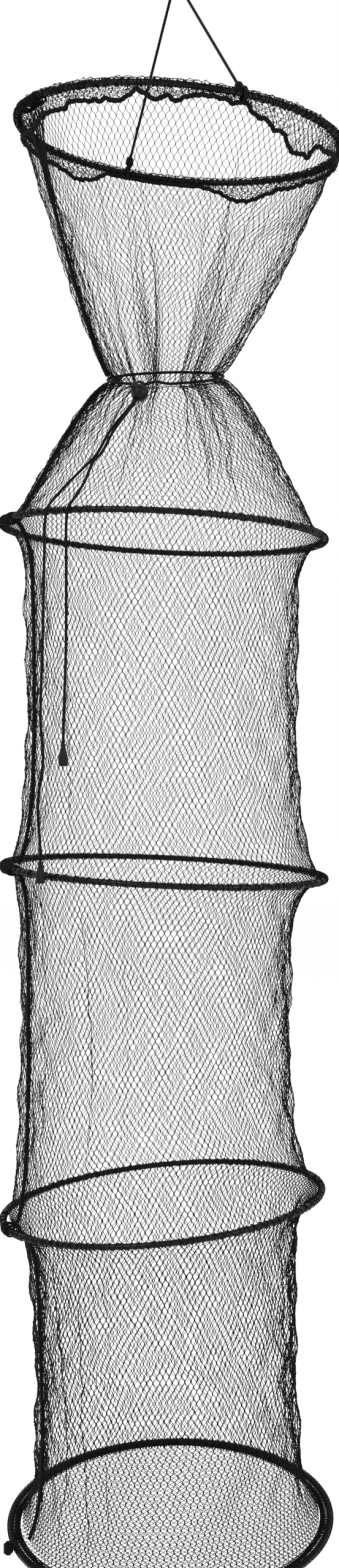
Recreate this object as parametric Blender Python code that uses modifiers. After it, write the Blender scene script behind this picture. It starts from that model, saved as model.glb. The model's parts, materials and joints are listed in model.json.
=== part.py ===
"""Collapsible keep net, hung by its two-leg bridle.

A tube of knotless netting hangs from a mouth hoop, is drawn in at a neck and then runs over
three ring hoops to a bottom hoop that a net panel closes. Metres, +Z up. The origin is the
top of the hanging loop, +X is the net's right side and -Y its front.
"""

import math

import bmesh
import bpy
from mathutils import Euler, Matrix, Vector

# Clearance between touching pieces, and the thickness of a netting wall
FIT = 0.0003
NET_WALL = 0.001

# Hoops: plastic tube bent round and closed on a plug
HOOP_RADIUS = 0.1965
TUBE_RADIUS = 0.0035
TUBE_WALL = 0.0009
JOINT_GAP = 0.0006
PLUG_LENGTH = 0.050
HOOP_STEPS = 28
TUBE_SIDES = 8

# Drops below the hanging loop
MOUTH_DROP = 0.2488
NECK_DROP = 0.5399
RING_2_DROP = 0.7291
RING_3_DROP = 1.1415
RING_4_DROP = 1.5496
BOTTOM_DROP = 1.9410

# Each hoop hangs a little aside and a little out of level: (drop, sideways share of the hoop
# radius, degrees that its right end hangs low, degrees that its back stands high)
HANG = {
    "mouth": (MOUTH_DROP, 0.024, 5.13, 4.31),
    "neck": (NECK_DROP, -0.061, -1.8, 18.0),
    "ring_2": (RING_2_DROP, -0.073, 2.81, 0.0),
    "ring_3": (RING_3_DROP, -0.070, 2.54, 0.62),
    "ring_4": (RING_4_DROP, -0.081, -5.51, -1.75),
    "bottom": (BOTTOM_DROP, -0.031, -1.54, 1.95),
}
JOINT_AZIMUTH = 80.0

# Neck and drawcord
NECK_RADIUS = 0.0705
DRAWCORD_RADIUS = 0.0016

# Netting tube: how far each bay draws in at its waist, and how much more on its right
WAIST_2 = 0.0220
WAIST_3 = 0.0225
WAIST_4 = 0.0285
EASE_2_SHARE = 0.20
EASE_3_SHARE = 0.53
EASE_4_SHARE = 0.14
FLARE_BELOW = 0.020
FLARE_ABOVE = 0.045
MOUTH_CONE_POWER = 0.80
NECK_CONE_POWER = 0.65

# Side seam: the lacing cord, and how far its pull draws the netting in
LACING_RADIUS = 0.0022
LACING_AZIMUTH = 200.0
LACING_PULL = 0.0090
LACING_SPREAD = 16.0
NECK_DIP_SHARE = 0.2

# Rows of a netting wall, as shares of the way from its upper edge to its lower edge
BAY_ROW_SHARES = (0.0, 0.05, 0.15, 0.50, 0.86, 1.0)
MOUTH_ROW_SHARES = (0.0, 0.18, 0.42, 0.68, 0.86, 0.95, 1.0)
NECK_ROW_SHARES = (0.0, 0.03, 0.10, 0.25, 0.48, 0.75, 1.0)

# Windows in a netting wall, two facets wide: the bar between them, and the rows that each spans
NET_BAR = 0.004
BAY_WINDOW_ROWS = ((1, 3), (3, 4), (4, 5))
MOUTH_WINDOW_ROWS = ((1, 2), (2, 3), (3, 5))
NECK_WINDOW_ROWS = ((2, 4), (4, 5), (5, 6))

# Mouth cuff: the netting folded over the hoop, and the rope in its lower edge
CUFF_STEPS = 56
CUFF_INNER_DROP = 0.011
CUFF_DROP = 0.041
SELVEDGE_RADIUS = 0.0021
CUFF_SCALLOPS_SHARES = (
    (0, 0.34), (14, 0.30), (30, 0.26), (48, 0.30), (60, 0.60), (69, 0.56), (80, 0.24),
    (98, 0.22), (118, 0.24), (130, 0.42), (138, 0.56), (150, 0.36), (165, 0.34), (180, 0.36),
    (194, 0.46), (214, 0.42), (232, 0.48), (241, 0.22), (254, 0.22), (262, 0.56), (268, 0.30),
    (274, 0.54), (281, 0.28), (290, 0.36), (297, 0.58), (304, 0.74), (308, 0.66), (314, 1.0),
    (321, 0.98), (326, 0.62), (334, 0.50), (346, 0.40),
)

# Bridle: two cords from the mouth hoop to a knot, and the loop that it hangs by
BRIDLE_RADIUS = 0.0017
BACK_ANCHOR_AZIMUTH = 111.0
FRONT_ANCHOR_AZIMUTH = 291.5
APEX_SHIFT = 0.0
LOOP_LENGTH = 0.040
LOOP_HALF_WIDTH = 0.0085
APEX_KNOT_RADIUS = 0.0058
APEX_KNOT_LENGTH = 0.017
ANCHOR_KNOT_RADIUS = 0.0050
ANCHOR_KNOT_LENGTH = 0.013
HITCH_CORD_RADIUS = 0.0016
HITCH_SIDES = 14
HITCH_SLOT_STRETCH = 2.0
KNOT_STEPS = 8

# Cord lock: a ball with a bored well, a spring and a slotted plunger, on the netting below the neck
LOCK_RADIUS = 0.0100
LOCK_AZIMUTH = 255.07
LOCK_DOWN_SHARE = 0.1624
LOCK_CLEARANCE = 0.0034
WELL_RADIUS = 0.0048
WELL_DEPTH = 0.0075
PLUNGER_RADIUS = 0.0044
PLUNGER_TRAVEL = 0.0025
PLUNGER_HEAD = 0.0045
PLUNGER_FOOT = 0.0018
SPRING_WIRE_RADIUS = 0.0003
SPRING_RADIUS = 0.0030
SPRING_TURNS = 3
LOCK_AIM = Vector((-0.60, -0.55, 0.58))
TAIL_AIM = Vector((-0.47, -0.46, -0.75))

# Free tails of the drawcord: over the netting to ring 2, and from there straight down
SHORT_TAIL_OVER = (
    (-0.0702, -0.1262, -0.6271), (-0.0833, -0.1412, -0.6546), (-0.0938, -0.1445, -0.6673),
    (-0.1031, -0.1540, -0.6911), (-0.1148, -0.1610, -0.7114), (-0.1205, -0.1716, -0.7225),
)
SHORT_TAIL_DOWN = (
    (-0.1225, -0.1720, -0.7420), (-0.1225, -0.1720, -0.7827), (-0.1229, -0.1720, -0.8736),
    (-0.1253, -0.1720, -0.9489),
)
LONG_TAIL_OVER = (
    (-0.0748, -0.1243, -0.6276), (-0.0896, -0.1400, -0.6569), (-0.1062, -0.1425, -0.6746),
    (-0.1256, -0.1425, -0.6941), (-0.1382, -0.1430, -0.7084), (-0.1443, -0.1545, -0.7195),
)
LONG_TAIL_DOWN = (
    (-0.1476, -0.1550, -0.7380), (-0.1484, -0.1550, -0.7807), (-0.1504, -0.1550, -0.8725),
    (-0.1529, -0.1550, -0.9575), (-0.1501, -0.1550, -1.0050), (-0.1559, -0.1550, -1.0528),
    (-0.1537, -0.1550, -1.1004),
)
SHORT_TAIL_END = (-0.1262, -0.1720, -0.9863)
LONG_TAIL_END = (-0.1532, -0.1550, -1.1195)

# Cord ends: fluted bells on the two tails
BELL_RADIUS = 0.0055
BELL_NECK_RADIUS = 0.0028
BELL_LENGTH = 0.0250
BELL_WALL = 0.0011
BELL_CAP = 0.0040

# Bottom: the rope inside the bottom hoop, the fold round both, the sagging panel and the knot
BOTTOM_ROPE_RADIUS = 0.0025
BOTTOM_ROPE_SET_IN = 0.0080
PANEL_SAG = 0.0120
PANEL_RING_SHARES = (1.0, 0.72, 0.38)
FOLD_BEVEL_SHARE = 0.55
FOLD_LIP_SHARE = 0.30
SEAM_KNOT_RADIUS = 0.0060
SEAM_KNOT_LENGTH = 0.0150


def clear_scene():
    """Removes what the new file holds."""
    for thing in list(bpy.data.objects):
        bpy.data.objects.remove(thing, do_unlink=True)


def new_collection(name):
    """A collection in the scene."""
    group = bpy.data.collections.new(name)
    bpy.context.scene.collection.children.link(group)
    return group


def finish(name, colour, roughness, metallic=0.0):
    """A Principled material with a colour, a roughness and a metallic value."""
    material = bpy.data.materials.new(name)
    material.use_nodes = True
    shader = material.node_tree.nodes["Principled BSDF"]
    shader.inputs["Base Color"].default_value = (*colour, 1.0)
    shader.inputs["Roughness"].default_value = roughness
    shader.inputs["Metallic"].default_value = metallic
    return material


clear_scene()
NET = new_collection("keep_net")
CUTTERS = new_collection("cutters")
TUBE_BLACK = finish("hoop_tube_black", (0.020, 0.020, 0.022), 0.45)
NETTING_BLACK = finish("netting_black", (0.012, 0.012, 0.014), 0.80)
CORD_BLACK = finish("cord_black", (0.014, 0.014, 0.016), 0.75)
LOCK_BLACK = finish("cord_lock_black", (0.022, 0.022, 0.024), 0.35)
SPRING_STEEL = finish("spring_steel", (0.62, 0.62, 0.64), 0.30, 1.0)


def place(name, mesh, material, where=None, group=None):
    """An object for a mesh, in the net's own collection unless another is named."""
    thing = bpy.data.objects.new(name, mesh)
    (group or NET).objects.link(thing)
    thing.data.materials.append(material)
    if where is not None:
        thing.matrix_world = where
    return thing


def frame_of(name):
    """The placed plane of a hoop or of the neck."""
    drop, sideways_share, low_right, high_back = HANG[name]
    turn = Euler((math.radians(high_back), math.radians(low_right), 0.0)).to_matrix()
    return Matrix.Translation((sideways_share * HOOP_RADIUS, 0.0, -drop)) @ turn.to_4x4()


def polar(radius, azimuth, height=0.0):
    """A point at a radius and an azimuth in degrees, lifted by a height."""
    angle = math.radians(azimuth)
    return Vector((radius * math.cos(angle), radius * math.sin(angle), height))


def lacing_dip(azimuth):
    """How far the side lacing draws the netting in at an azimuth."""
    away = (azimuth - LACING_AZIMUTH + 180.0) % 360.0 - 180.0
    return LACING_PULL * math.exp(-((away / LACING_SPREAD) ** 2))


def smooth_table(table, azimuth):
    """Reads a closed table of (azimuth, value) with a cosine ease between its entries."""
    azimuth %= 360.0
    entries = list(table) + [(table[0][0] + 360.0, table[0][1])]
    for (start, low), (end, high) in zip(entries, entries[1:]):
        if start <= azimuth <= end:
            ease = 0.5 - 0.5 * math.cos(math.pi * (azimuth - start) / (end - start))
            return low + (high - low) * ease
    return table[0][1]


def faceted(radius, azimuth):
    """The radius that a hoop's straight facets leave at an azimuth."""
    step = 360.0 / HOOP_STEPS
    away = (azimuth - JOINT_AZIMUTH) % step - step / 2
    return radius * math.cos(math.radians(step / 2)) / math.cos(math.radians(away))


def hoop_edge_radius(azimuth):
    """Mid radius of a netting wall where it meets the inner side of a hoop."""
    return HOOP_RADIUS - TUBE_RADIUS - FIT - NET_WALL / 2 - lacing_dip(azimuth)


def bottom_edge_radius(azimuth):
    """Mid radius of the last wall where it meets the rope inside the bottom hoop."""
    fold = HOOP_RADIUS - BOTTOM_ROPE_SET_IN - BOTTOM_ROPE_RADIUS - FOLD_STAND_OFF
    return fold - FIT - NET_WALL / 2 - lacing_dip(azimuth) / 2


def neck_edge_radius(azimuth):
    """Mid radius of the netting at the drawcord."""
    return NECK_RADIUS - NECK_DIP_SHARE * lacing_dip(azimuth)


FOLD_STAND_OFF = FIT + NET_WALL
HOOP_EDGE_LIFT = FIT + NET_WALL / 2
NECK_EDGE_LIFT = DRAWCORD_RADIUS + FIT + NET_WALL
CUFF_EDGE_LIFT = CUFF_INNER_DROP + FIT

# (upper plane, its edge radius, its edge height, lower plane, its edge radius, its edge height)
SECTIONS = {
    "mouth": ("mouth", hoop_edge_radius, -CUFF_EDGE_LIFT, "neck", neck_edge_radius, NECK_EDGE_LIFT),
    "neck": ("neck", neck_edge_radius, -NECK_EDGE_LIFT, "ring_2", hoop_edge_radius, HOOP_EDGE_LIFT),
    "bay_2": ("ring_2", hoop_edge_radius, -HOOP_EDGE_LIFT, "ring_3", hoop_edge_radius, HOOP_EDGE_LIFT),
    "bay_3": ("ring_3", hoop_edge_radius, -HOOP_EDGE_LIFT, "ring_4", hoop_edge_radius, HOOP_EDGE_LIFT),
    "bay_4": ("ring_4", hoop_edge_radius, -HOOP_EDGE_LIFT, "bottom", bottom_edge_radius, HOOP_EDGE_LIFT),
}
WAISTS = {
    "bay_2": (WAIST_2, EASE_2_SHARE),
    "bay_3": (WAIST_3, EASE_3_SHARE),
    "bay_4": (WAIST_4, EASE_4_SHARE),
}


def wall_point(section, azimuth, share, out=0.0):
    """A point of a section's netting, a share of the way down, moved outward by a distance."""
    upper, upper_radius, upper_height, lower, lower_radius, lower_height = SECTIONS[section]
    upper_frame = frame_of(upper)
    lower_frame = frame_of(lower)
    top = upper_frame @ polar(upper_radius(azimuth), azimuth, upper_height)
    foot = lower_frame @ polar(lower_radius(azimuth), azimuth, lower_height)
    top_centre = upper_frame.translation
    foot_centre = lower_frame.translation
    if section == "mouth":
        hold = (1.0 - share) ** MOUTH_CONE_POWER
    elif section == "neck":
        hold = 1.0 - share**NECK_CONE_POWER
    else:
        hold = 1.0 - share
    point = top.lerp(foot, share)
    centre = top_centre.lerp(foot_centre, share)
    spread = (top - top_centre) * hold + (foot - foot_centre) * (1.0 - hold)
    outward = Vector((spread.x, spread.y, 0.0)).normalized()
    pull = 0.0
    if section in WAISTS:
        waist, ease_share = WAISTS[section]
        height = (top - foot).length
        below = 1.0 - math.exp(-share * height / FLARE_BELOW)
        above = 1.0 - math.exp(-(1.0 - share) * height / FLARE_ABOVE)
        pull = waist * (1.0 + ease_share * math.cos(math.radians(azimuth))) * below * above
    flat = Vector((centre.x + spread.x, centre.y + spread.y, point.z))
    return flat + outward * (out - pull)


def skin_point(section, row_shares, azimuth, share, out):
    """A point on a section's faceted wall, moved outward by a distance."""
    step = 360.0 / HOOP_STEPS
    column = math.floor((azimuth - JOINT_AZIMUTH) / step)
    before = JOINT_AZIMUTH + column * step
    across = (azimuth - before) / step
    for high, low in zip(row_shares, row_shares[1:]):
        if share <= low:
            break
    down = (share - high) / (low - high)
    corner = {}
    for row, place_share in (("high", high), ("low", low)):
        left = wall_point(section, before, place_share)
        right = wall_point(section, before + step, place_share)
        corner[row] = left.lerp(right, across)
    point = corner["high"].lerp(corner["low"], down)
    left = wall_point(section, before, high)
    right = wall_point(section, before + step, high)
    normal = (corner["low"] - corner["high"]).cross(right - left).normalized()
    return point + normal * out


def loft(name, rows, material, thickness=0.0, pole=None):
    """Closed rows of points joined into a skin, thickened inward when a thickness is given."""
    shape = bmesh.new()
    levels = [[shape.verts.new(point) for point in row] for row in rows]
    for upper, lower in zip(levels, levels[1:]):
        for here in range(len(upper)):
            after = (here + 1) % len(upper)
            shape.faces.new((upper[here], lower[here], lower[after], upper[after]))
    if pole is not None:
        tip = shape.verts.new(pole)
        last = levels[-1]
        for here in range(len(last)):
            shape.faces.new((last[here], tip, last[(here + 1) % len(last)]))
    mesh = bpy.data.meshes.new(name)
    shape.to_mesh(mesh)
    shape.free()
    mesh.shade_smooth()
    thing = place(name, mesh, material)
    if thickness:
        wall = thing.modifiers.new("wall", "SOLIDIFY")
        wall.thickness = thickness
        wall.offset = 0.0
        wall.use_even_offset = True
    return thing


def smooth_route(points, pitch):
    """Points at an even pitch along a smooth curve through the given points."""
    knots = [Vector(point) for point in points]
    ends = [2 * knots[0] - knots[1]] + knots + [2 * knots[-1] - knots[-2]]
    fine = []
    steps = 24
    for a, b, c, d in zip(ends, ends[1:], ends[2:], ends[3:]):
        for step in range(steps):
            t = step / steps
            fine.append(
                0.5
                * (
                    2 * b
                    + (c - a) * t
                    + (2 * a - 5 * b + 4 * c - d) * t**2
                    + (3 * b - a - 3 * c + d) * t**3
                )
            )
    fine.append(knots[-1])
    length = sum((after - before).length for before, after in zip(fine, fine[1:]))
    count = max(2, round(length / pitch))
    even = [fine[0]]
    walked = 0.0
    for before, after in zip(fine, fine[1:]):
        stretch = (after - before).length
        while len(even) < count and walked + stretch >= length * len(even) / count:
            even.append(before.lerp(after, (length * len(even) / count - walked) / stretch))
        walked += stretch
    return even + [fine[-1]]


def cord(name, points, radius, closed=False, sides=2, material=None):
    """A round cord along points: a curve with a bevel and filled caps."""
    curve = bpy.data.curves.new(name, "CURVE")
    curve.dimensions = "3D"
    curve.bevel_depth = radius
    curve.bevel_resolution = sides
    curve.use_fill_caps = True
    line = curve.splines.new("POLY")
    line.points.add(len(points) - 1)
    for slot, point in zip(line.points, points):
        slot.co = (*point, 1.0)
    line.use_cyclic_u = closed
    line.use_smooth = True
    thing = bpy.data.objects.new(name, curve)
    NET.objects.link(thing)
    curve.materials.append(material or CORD_BLACK)
    return thing


def as_mesh(thing):
    """Turns a curve or a modified object into a plain welded mesh object of the same name."""
    bpy.context.view_layer.update()
    ready = thing.evaluated_get(bpy.context.evaluated_depsgraph_get())
    mesh = bpy.data.meshes.new_from_object(ready)
    shape = bmesh.new()
    shape.from_mesh(mesh)
    bmesh.ops.remove_doubles(shape, verts=shape.verts, dist=FIT / 10)
    shape.to_mesh(mesh)
    shape.free()
    name = thing.name
    where = thing.matrix_world.copy()
    groups = list(thing.users_collection)
    bpy.data.objects.remove(thing, do_unlink=True)
    solid = bpy.data.objects.new(name, mesh)
    for group in groups:
        group.objects.link(solid)
    solid.matrix_world = where
    return solid


def turned(name, profile, where, material, steps=12, group=None, ring=False):
    """A profile of (radius, height) turned about its own Z by Screw, closed as a ring if asked."""
    mesh = bpy.data.meshes.new(name)
    edges = [(here, here + 1) for here in range(len(profile) - 1)]
    if ring:
        edges.append((len(profile) - 1, 0))
    mesh.from_pydata([(radius, 0.0, height) for radius, height in profile], edges, [])
    thing = place(name, mesh, material, where, group)
    screw = thing.modifiers.new("turn", "SCREW")
    screw.steps = steps
    screw.render_steps = steps
    screw.use_merge_vertices = True
    screw.merge_threshold = FIT / 10
    screw.use_smooth_shade = True
    return thing


def cut(thing, cutters, operation="DIFFERENCE"):
    """Boolean of an object with cutter objects, which go in the cutters' collection."""
    for cutter in cutters:
        cutter.hide_render = True
        cutter.display_type = "WIRE"
        for group in list(cutter.users_collection):
            group.objects.unlink(cutter)
        CUTTERS.objects.link(cutter)
        step = thing.modifiers.new(cutter.name, "BOOLEAN")
        step.operation = operation
        step.object = cutter


def aim(direction, side=None):
    """A turn whose Z runs along a direction and whose X leans towards a side."""
    z = Vector(direction).normalized()
    lean = Vector(side) if side is not None else z.orthogonal()
    x = (lean - z * lean.dot(z)).normalized()
    return Matrix((x, z.cross(x), z)).transposed()


def placed(point, turn):
    """A placement from a point and a turn."""
    return Matrix.Translation(point) @ turn.to_4x4()


def ring_of(radius, azimuths, height=0.0):
    """Flat ring of points."""
    return [polar(radius, azimuth, height) for azimuth in azimuths]


def even_azimuths(count):
    """Azimuths of a ring, starting at the hoops' joint."""
    return [JOINT_AZIMUTH + 360.0 * step / count for step in range(count)]


def hoop(name, plane):
    """A hoop of plastic tube, open where its ends meet, and the plug inside that joint."""
    where = frame_of(plane)
    profile = bpy.data.meshes.new(f"{name}_hoop")
    corners = []
    for side in range(TUBE_SIDES):
        angle = 360.0 * (side + 0.5) / TUBE_SIDES
        corner = polar(TUBE_RADIUS, angle)
        corners.append((HOOP_RADIUS + corner.x, 0.0, corner.y))
    edges = [((side + 1) % TUBE_SIDES, side) for side in range(TUBE_SIDES)]
    profile.from_pydata(corners, edges, [])
    gap_angle = JOINT_GAP / HOOP_RADIUS
    start = Matrix.Rotation(math.radians(JOINT_AZIMUTH) + gap_angle / 2, 4, "Z")
    tube = place(f"{name}_hoop", profile, TUBE_BLACK, where @ start)
    bend = tube.modifiers.new("bend", "SCREW")
    bend.angle = 2 * math.pi - gap_angle
    bend.steps = HOOP_STEPS
    bend.render_steps = HOOP_STEPS
    bend.use_smooth_shade = True
    bend.merge_threshold = FIT / 10
    wall = tube.modifiers.new("wall", "SOLIDIFY")
    wall.thickness = TUBE_WALL
    wall.offset = -1.0
    half_turn = math.degrees(PLUG_LENGTH / HOOP_RADIUS) / 2
    azimuths = (JOINT_AZIMUTH - half_turn, JOINT_AZIMUTH, JOINT_AZIMUTH + half_turn)
    fit_radius = (TUBE_RADIUS - TUBE_WALL) * math.cos(math.pi / TUBE_SIDES) - 2 * FIT
    middle = [where @ polar(faceted(HOOP_RADIUS, azimuth), azimuth) for azimuth in azimuths]
    cord(f"{name}_hoop_plug", middle, fit_radius, material=LOCK_BLACK)


def netting(name, section, row_shares, window_rows):
    """The netting wall of a section: a plain grid of bars, closed along the side seam."""
    azimuths = even_azimuths(HOOP_STEPS)
    rows = [[wall_point(section, azimuth, share) for azimuth in azimuths] for share in row_shares]
    wall = loft(name, rows, NETTING_BLACK, NET_WALL)
    seam = math.floor((LACING_AZIMUTH - JOINT_AZIMUTH) * HOOP_STEPS / 360.0)
    facets = [(seam + step) % HOOP_STEPS for step in range(1, HOOP_STEPS)]
    shape = bmesh.new()
    shape.from_mesh(wall.data)
    faces = list(shape.faces)
    windows = []
    for high, low in window_rows:
        for start in range(0, len(facets), 2):
            across = facets[start:start + 2]
            windows.append([faces[row * HOOP_STEPS + facet] for row in range(high, low) for facet in across])
    for window in windows:
        bmesh.ops.inset_region(shape, faces=window, thickness=NET_BAR / 2, use_boundary=True,
                               use_even_offset=True)
    opened = [face for window in windows for face in window]
    bmesh.ops.delete(shape, geom=opened, context="FACES")
    shape.to_mesh(wall.data)
    shape.free()
    return wall


def lacing(name, section, row_shares, start_share, end_share):
    """The side lacing cord along a section, lying on the outside of the netting."""
    out = NET_WALL / 2 + FIT * 2 + LACING_RADIUS
    inner_shares = [share for share in row_shares if start_share < share < end_share]
    shares = [start_share] + inner_shares + [end_share]
    points = []
    for here, after in zip(shares, shares[1:]):
        for share in (here, (here + after) / 2):
            points.append(skin_point(section, row_shares, LACING_AZIMUTH, share, out))
    points.append(skin_point(section, row_shares, LACING_AZIMUTH, end_share, out))
    return cord(name, points, LACING_RADIUS)


def make_mouth():
    """Mouth hoop with its cuff of folded netting and the rope in the cuff's edge."""
    hoop("mouth", "mouth")
    where = frame_of("mouth")
    over = TUBE_RADIUS + FIT + NET_WALL / 2
    azimuths = even_azimuths(CUFF_STEPS)

    def cuff_drop(azimuth):
        return CUFF_DROP * smooth_table(CUFF_SCALLOPS_SHARES, azimuth)

    def outside(azimuth, drop):
        """The cuff's outer leaf: from the hoop's outer side to the netting's slope."""
        share = max(0.0, (drop - CUFF_EDGE_LIFT) / (NECK_DROP - MOUTH_DROP))
        stand_off = NET_WALL + FIT * 3
        rest = wall_point("mouth", azimuth, share, stand_off)
        local = where.inverted() @ rest
        return polar(math.hypot(local.x, local.y), azimuth, -drop)

    half = over * math.tan(math.pi / TUBE_SIDES)
    wrap = [(-over, -CUFF_INNER_DROP), (-over, half), (-half, over)]
    wrap += [(half, over), (over, half), (over, -half)]
    rows = [[polar(faceted(HOOP_RADIUS, a) + step_out, a, lift) for a in azimuths] for step_out, lift in wrap]
    edge = []
    rope = []
    for azimuth in azimuths:
        drop = cuff_drop(azimuth) + TUBE_RADIUS
        edge.append(outside(azimuth, drop))
        rope.append(where @ (outside(azimuth, drop + NET_WALL / 2 + FIT + SELVEDGE_RADIUS)
                             + polar(SELVEDGE_RADIUS - NET_WALL / 2 + FIT, azimuth)))
    rows += [edge]
    cuff = loft("net_cuff", [[where @ point for point in row] for row in reversed(rows)],
                NETTING_BLACK, NET_WALL)
    cord("selvedge_rope", rope, SELVEDGE_RADIUS, closed=True)
    netting("net_mouth", "mouth", MOUTH_ROW_SHARES, MOUTH_WINDOW_ROWS)
    lacing("side_lacing_mouth", "mouth", MOUTH_ROW_SHARES, 0.16, 0.975)
    return cuff


def anchor_place(azimuth):
    """The point of the mouth hoop that a bridle leg hangs on, and the way up to the apex."""
    where = frame_of("mouth")
    point = where @ polar(faceted(HOOP_RADIUS, azimuth), azimuth)
    return point, (apex_point() - point).normalized()


def apex_point():
    """Where the two bridle legs meet, under the hanging loop's knot."""
    return Vector((APEX_SHIFT, 0.0, -LOOP_LENGTH - APEX_KNOT_LENGTH))


def knot_profile(radius, length, core):
    """Profile of a knot of three wraps, from its top to its foot."""
    wrap = length / 3
    profile = [(0.0, 0.0), (core, 0.0)]
    for turn in range(3):
        high = -wrap * turn
        low = high - wrap
        profile.append((radius * 0.8, high - wrap * 0.15))
        profile.append((radius, high - wrap / 2))
        profile.append((radius * 0.8, low + wrap * 0.15))
    return profile + [(core, -length), (0.0, -length)]


def make_anchor(side, azimuth, cuff):
    """A bridle leg's hitch round the mouth hoop and the knot above it, with the cuff's slot."""
    point, up = anchor_place(azimuth)
    tangent = frame_of("mouth").to_3x3() @ polar(1.0, azimuth + 90.0)
    hitch_radius = TUBE_RADIUS + NET_WALL + 3 * FIT + HITCH_CORD_RADIUS + 0.5 * NET_WALL
    turn = aim(tangent, up)
    where = placed(point, turn)
    turns = [360.0 * step / HITCH_SIDES for step in range(HITCH_SIDES)]
    circle = [where @ spot for spot in ring_of(hitch_radius, turns)]
    cord(f"bridle_hitch_{side}", circle, HITCH_CORD_RADIUS, closed=True)
    slot = cord(f"hitch_slot_{side}", circle, HITCH_CORD_RADIUS + 2 * FIT, closed=True)
    cutter = as_mesh(slot)
    cutter.data.transform(where @ Matrix.Diagonal((1.0, 1.0, HITCH_SLOT_STRETCH, 1.0)) @ where.inverted())
    cut(cuff, [cutter])
    foot = hitch_radius + HITCH_CORD_RADIUS + FIT
    head = point + up * (foot + ANCHOR_KNOT_LENGTH)
    turned(f"bridle_knot_{side}", knot_profile(ANCHOR_KNOT_RADIUS, ANCHOR_KNOT_LENGTH, BRIDLE_RADIUS),
           placed(head, aim(up)), CORD_BLACK, KNOT_STEPS)
    start = head + up * FIT
    aside = Vector((-up.x, -up.y, 0.0)).normalized() * (BRIDLE_RADIUS + FIT)
    end = apex_point() + aside - Vector((0.0, 0.0, BRIDLE_RADIUS / 2 + FIT))
    bend = end - Vector((0.0, 0.0, 2 * BRIDLE_RADIUS))
    leg = [start, start.lerp(bend, 0.3), start.lerp(bend, 0.6), start.lerp(bend, 0.94), bend, end]
    cord(f"bridle_leg_{side}", smooth_route(leg, BRIDLE_RADIUS * 6), BRIDLE_RADIUS)


def make_hanging_loop():
    """The loop that the net hangs by, and the apex knot under it."""
    knot_top = -LOOP_LENGTH
    half = LOOP_HALF_WIDTH
    foot = knot_top + FIT
    crown = -BRIDLE_RADIUS
    gap = BRIDLE_RADIUS + FIT
    points = [
        (-gap, 0.0, foot), (-gap, 0.0, foot + half * 0.4), (-half * 0.8, 0.0, foot + half * 1.4),
        (-half, 0.0, crown - half * 1.1), (-half * 0.7, 0.0, crown - half * 0.3), (0.0, 0.0, crown),
        (half * 0.7, 0.0, crown - half * 0.3), (half, 0.0, crown - half * 1.1),
        (half * 0.8, 0.0, foot + half * 1.4), (gap, 0.0, foot + half * 0.4), (gap, 0.0, foot),
    ]
    cord("hanging_loop", smooth_route(points, BRIDLE_RADIUS * 2.4), BRIDLE_RADIUS)
    turned("bridle_apex_knot", knot_profile(APEX_KNOT_RADIUS, APEX_KNOT_LENGTH, 2 * BRIDLE_RADIUS),
           Matrix.Translation((0.0, 0.0, knot_top)), CORD_BLACK, KNOT_STEPS)


def lock_axes():
    """The cord lock's centre, its button's way out and the way that the tails leave."""
    stand_off = LOCK_RADIUS + LOCK_CLEARANCE
    centre = skin_point("neck", NECK_ROW_SHARES, LOCK_AZIMUTH, LOCK_DOWN_SHARE, stand_off)
    button = LOCK_AIM.normalized()
    leave = (TAIL_AIM - button * TAIL_AIM.dot(button)).normalized()
    return centre, button, leave


def make_cord_lock():
    """Ball, spring and plunger of the cord lock, with the drawcord that passes through it."""
    centre, button, leave = lock_axes()
    where = placed(centre, aim(button, leave))
    pair = DRAWCORD_RADIUS + FIT
    cord_top = DRAWCORD_RADIUS + FIT
    steps = 14
    profile = []
    for step in range(9):
        angle = math.pi * step / 8
        profile.append((max(LOCK_RADIUS * math.sin(angle), 0.0), LOCK_RADIUS * math.cos(angle)))
    ball = turned("cord_lock_ball", profile, where, LOCK_BLACK, steps)
    well = turned("lock_well", [(0.0, 2 * LOCK_RADIUS), (WELL_RADIUS, 2 * LOCK_RADIUS),
                                (WELL_RADIUS, -WELL_DEPTH), (0.0, -WELL_DEPTH)], where, LOCK_BLACK, steps)
    width = 2 * (pair + DRAWCORD_RADIUS + FIT)
    passage = slot_cutter("lock_passage", where, 3 * LOCK_RADIUS, width, cord_top, cord_top)
    cut(ball, [well, passage])
    foot = cord_top + FIT + PLUNGER_FOOT
    plunger = turned("cord_lock_plunger", [
        (0.0, LOCK_RADIUS + PLUNGER_HEAD), (PLUNGER_RADIUS * 0.75, LOCK_RADIUS + PLUNGER_HEAD),
        (PLUNGER_RADIUS, LOCK_RADIUS + PLUNGER_HEAD - PLUNGER_RADIUS * 0.25),
        (PLUNGER_RADIUS, -foot), (0.0, -foot)], where, LOCK_BLACK, steps)
    window = slot_cutter("plunger_window", where, 3 * LOCK_RADIUS, width, cord_top + PLUNGER_TRAVEL, cord_top)
    cut(plunger, [window])
    low = -WELL_DEPTH + FIT + SPRING_WIRE_RADIUS
    high = -foot - FIT - SPRING_WIRE_RADIUS
    count = SPRING_TURNS * 10
    coil = []
    for step in range(count + 1):
        coil.append(where @ polar(SPRING_RADIUS, 36.0 * step, low + (high - low) * step / count))
    cord("cord_lock_spring", coil, SPRING_WIRE_RADIUS, sides=1, material=SPRING_STEEL)


def slot_cutter(name, where, length, width, above, below):
    """A box cutter along the lock's own X, from below to above the cords."""
    bpy.ops.mesh.primitive_cube_add(size=1.0)
    box = bpy.context.active_object
    box.name = name
    box.matrix_world = (where @ Matrix.Translation((0.0, 0.0, (above - below) / 2))
                        @ Matrix.Diagonal((length, width, above + below, 1.0)))
    return box


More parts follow.
